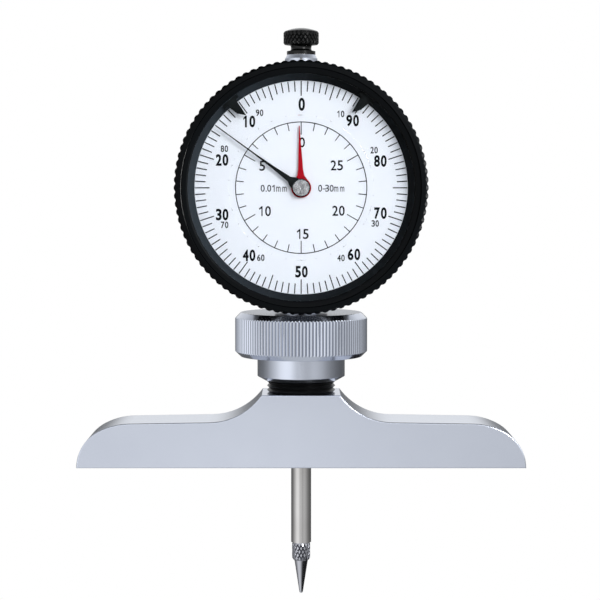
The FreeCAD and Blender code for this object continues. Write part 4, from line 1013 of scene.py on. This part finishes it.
@dataclass
class Studio:
    """The floor, the pale surroundings, the soft lamps and the camera."""

    # The floor's height and radius, and how far its soft shade reaches and how dark it is
    floor_height: float = -0.16
    floor_radius: float = 0.56
    floor_reach: float = 0.45
    floor_shade: float = 0.16
    lens: float = 110.63
    camera_place: Tuple[float, float, float] = (-0.00026, -0.42089, 0.06318)
    camera_pitch_deg: float = 3.482
    aim: Tuple[float, float, float] = (0.0, 0.0, 0.045)
    lamps: Tuple[Lamp, ...] = (
        Lamp("key_soft_box", (0.36, -0.57, 0.3), (0.24, 0.24), 1.72),
        # Flagged off the dial, it grazes the bezel's wall on the left
        Lamp("side_strip", (0.5, -0.16, 0.05), (0.1, 0.3), 11.0, ("bezel_ring",)),
    )
    # Levels in reflections, by degrees to the right of the camera
    walls: Tuple[Point, ...] = (
        (-180, 1.0), (-120, 0.75), (-60, 0.85), (-42, 1.0), (-30, 1.0), (-18, 1.15), (-2, 1.4),
        (10, 1.4), (20, 1.5), (28, 1.6), (42, 1.6), (50, 1.3), (62, 1.1), (90, 1.0), (108, 0.9),
        (150, 1.0), (180, 1.0),
    )
    table: Tuple[Point, ...] = (
        (-180, 0.15), (-144, 0.18), (-120, 0.24), (-101, 0.38), (-86, 0.62), (-69, 0.9), (-55, 1.2),
        (-42, 1.32), (-29, 1.28), (-17, 0.96), (-8, 0.78), (-1, 0.97), (4, 0.78), (10, 0.66),
        (20, 0.66), (32, 0.74), (44, 0.7), (58, 0.58), (72, 0.42), (88, 0.3), (106, 0.21),
        (130, 0.15), (180, 0.15),
    )
    underside: Tuple[Point, ...] = (
        (-180, 0.1), (-110, 0.3), (-60, 1.1), (-20, 1.0), (5, 0.5), (25, 0.08), (45, 0.02),
        (180, 0.02),
    )
    tint: Tuple[float, float, float] = (0.97, 0.985, 1.0)
    # Heights between which one gives way to the next: underside to table, table to walls
    table_edge: Point = (-0.36, -0.27)
    wall_foot: Point = (0.04, 0.12)
    # The dark ceiling, and the pale paper straight below
    ceiling_edge: Point = (0.5, 0.97)
    ceiling: Tuple[float, float, float] = (0.0255, 0.0285, 0.0345)
    paper_edge: Point = (-0.65, -0.85)
    paper: Tuple[float, float, float] = (0.66, 0.68, 0.7)
    # The lens and its hood in front of the dial, by how squarely they are faced
    lens_edge: Point = (0.9966, 0.9976)
    lens_shade: Tuple[float, float, float] = (0.02, 0.02, 0.02)
    # The even light on paint that the crystal doesn't cover: a floor, and a broad lobe about a direction
    even_floor: float = 0.08
    even_lobe: float = 1.78
    even_towards: Tuple[float, float, float] = (0.4, -0.88, 0.25)
    even_power: float = 6.0

    def ramp(self, tree, share, levels: Sequence[Point]):
        """Add a ring of grey levels round the horizon.

        Args:
            tree: the world's nodes.
            share: the socket that runs from 0 to 1 round the horizon, 0.5 at the camera.
            levels: degrees to the right of the camera, and the level there.

        Returns:
            The ramp's colour socket.
        """
        node = add_node(tree, "ValToRGB", {"Fac": share})
        elements = node.color_ramp.elements
        # The ramp's own two stops stay at its ends, straight behind the gauge
        for degrees, _ in levels[1:-1]:
            elements.new(degrees / 360 + 0.5)
        for element, (_, level) in zip(elements, levels):
            element.color = (*(level * part for part in self.tint), 1)
        return node.outputs["Color"]

    def surroundings(self) -> None:
        """Make the world: white to the eye, a soft room in mirrors, an even light on paint."""
        world = bpy.data.worlds.new("pale_studio")
        bpy.context.scene.world = world
        world.use_nodes = True
        tree = world.node_tree
        tree.nodes.clear()
        place = add_node(tree, "TexCoord").outputs["Generated"]
        parts = add_node(tree, "SeparateXYZ", {0: place}).outputs
        front = computed(tree, "MULTIPLY", parts["Y"], -1.0)
        share = ranged(tree, computed(tree, "ARCTAN2", parts["X"], front), -math.pi, math.pi)
        room = self.ramp(tree, share, self.underside)
        for levels, edge in ((self.table, self.table_edge), (self.walls, self.wall_foot)):
            room = blended(tree, ranged(tree, parts["Z"], *edge), room, self.ramp(tree, share, levels))
        shades = (
            (parts["Z"], self.ceiling_edge, self.ceiling),
            (parts["Z"], self.paper_edge, self.paper),
            (front, self.lens_edge, self.lens_shade),
        )
        for value, edge, colour in shades:
            room = blended(tree, ranged(tree, value, *edge), room, (*colour, 1))
        towards = Vector(self.even_towards).normalized()
        facing = add_node(tree, "VectorMath", {"operation": "DOT_PRODUCT", 0: place, 1: towards})
        ahead = computed(tree, "MAXIMUM", facing.outputs["Value"], 0.0)
        lobe = computed(tree, "POWER", ahead, self.even_power)
        even = computed(tree, "MULTIPLY_ADD", lobe, self.even_lobe, self.even_floor)
        direct, mirrored = self.sight(tree)
        seen = blended(tree, direct, blended(tree, mirrored, even, room), (1, 1, 1, 1))
        light = add_node(tree, "Background", {"Strength": 1.0, "Color": seen})
        add_node(tree, "OutputWorld", {"Surface": light.outputs[0]})
        # Each ray looks the room up for itself, so mirrors and paint each get their own light
        world.cycles.sampling_method = "NONE"

    def sight(self, tree) -> Tuple:
        """Tell what the eye meets directly from what it meets in a mirror.

        Args:
            tree: the nodes to add to.

        Returns:
            Two sockets: the first is 1 for what is seen directly or through clear
            pieces, the second for what is seen mirrored, through clear pieces or not.
        """
        path = add_node(tree, "LightPath").outputs
        unscattered = computed(tree, "LESS_THAN", path["Diffuse Depth"], 0.5)
        unmirrored = computed(tree, "LESS_THAN", path["Glossy Depth"], 0.5)
        through = computed(tree, "MULTIPLY", path["Is Transmission Ray"], unscattered)
        clear = computed(tree, "MULTIPLY", through, unmirrored)
        direct = computed(tree, "MAXIMUM", path["Is Camera Ray"], clear)
        mirrored = computed(tree, "MAXIMUM", path["Is Glossy Ray"], through)
        return direct, mirrored

    def floor(self) -> None:
        """Lay a pale floor under the gauge, white to the eye but for the soft shadow."""
        bm = bmesh.new()
        bmesh.ops.create_circle(bm, cap_ends=True, segments=96, radius=self.floor_radius)
        bmesh.ops.translate(bm, verts=bm.verts[:], vec=Vector((0, 0, self.floor_height)))
        mesh = bpy.data.meshes.new("studio_floor")
        bm.to_mesh(mesh)
        bm.free()
        material, tree = new_material("white_studio_paper")
        place = add_node(tree, "TexCoord").outputs["Object"]
        flat = add_node(tree, "Mapping", {"Scale": (1, 1, 0), "Vector": place})
        away = add_node(tree, "VectorMath", {"operation": "LENGTH", 0: flat.outputs["Vector"]})
        shade = ranged(tree, away.outputs["Value"], 0.0, self.floor_reach, 1 - self.floor_shade, 1.0)
        paper = add_node(tree, "BsdfDiffuse", {"Color": linear("#F4F5F6")})
        glow = add_node(tree, "Emission", {"Color": (1, 1, 1, 1), "Strength": 1.0})
        share = computed(tree, "MULTIPLY", self.sight(tree)[0], shade)
        mix = add_node(tree, "MixShader", {0: share, 1: paper.outputs["BSDF"], 2: glow.outputs["Emission"]})
        add_node(tree, "OutputMaterial", {"Surface": mix.outputs["Shader"]})
        mesh.materials.append(material)
        floor = bpy.data.objects.new("studio_floor", mesh)
        # In mirrors the studio's own table is seen in its place
        floor.visible_glossy = False
        bpy.context.scene.collection.objects.link(floor)

    def light(self) -> None:
        """Hang the soft lamps and aim them at the gauge."""
        for lamp in self.lamps:
            data = bpy.data.lights.new(lamp.name, "AREA")
            data.shape = "RECTANGLE"
            data.size, data.size_y = lamp.size
            data.energy = lamp.power
            holder = bpy.data.objects.new(lamp.name, data)
            holder.location = lamp.place
            towards = Vector(self.aim) - Vector(lamp.place)
            holder.rotation_euler = towards.to_track_quat("-Z", "Y").to_euler()
            bpy.context.scene.collection.objects.link(holder)
            if lamp.lit:
                flags = bpy.data.collections.new(f"{lamp.name}_flags")
                for name in lamp.lit:
                    flags.objects.link(bpy.data.objects[name])
                holder.light_linking.receiver_collection = flags

    def camera(self) -> None:
        """Stand the camera where the photograph was taken."""
        data = bpy.data.cameras.new("camera")
        data.sensor_width = 36.0
        data.lens = self.lens
        data.clip_start = 0.01
        holder = bpy.data.objects.new("camera", data)
        holder.location = self.camera_place
        holder.rotation_euler = (math.radians(90 - self.camera_pitch_deg), 0, 0)
        bpy.context.scene.collection.objects.link(holder)
        bpy.context.scene.camera = holder

    def build(self) -> None:
        """Set the studio up."""
        self.camera()
        self.surroundings()
        self.floor()
        self.light()
        bpy.context.scene.view_settings.view_transform = "Standard"


def main() -> None:
    """Build every sub-assembly, then the studio."""
    logging.basicConfig(level=logging.INFO, format="%(name)s: %(message)s")
    for part in (Base(), ClampNut(), SpindleGroup(), Head(), DialGroup(), Pointers(), Studio()):
        part.build()
        LOG.info("%s is done", type(part).__name__)


if __name__ == "__main__":
    main()
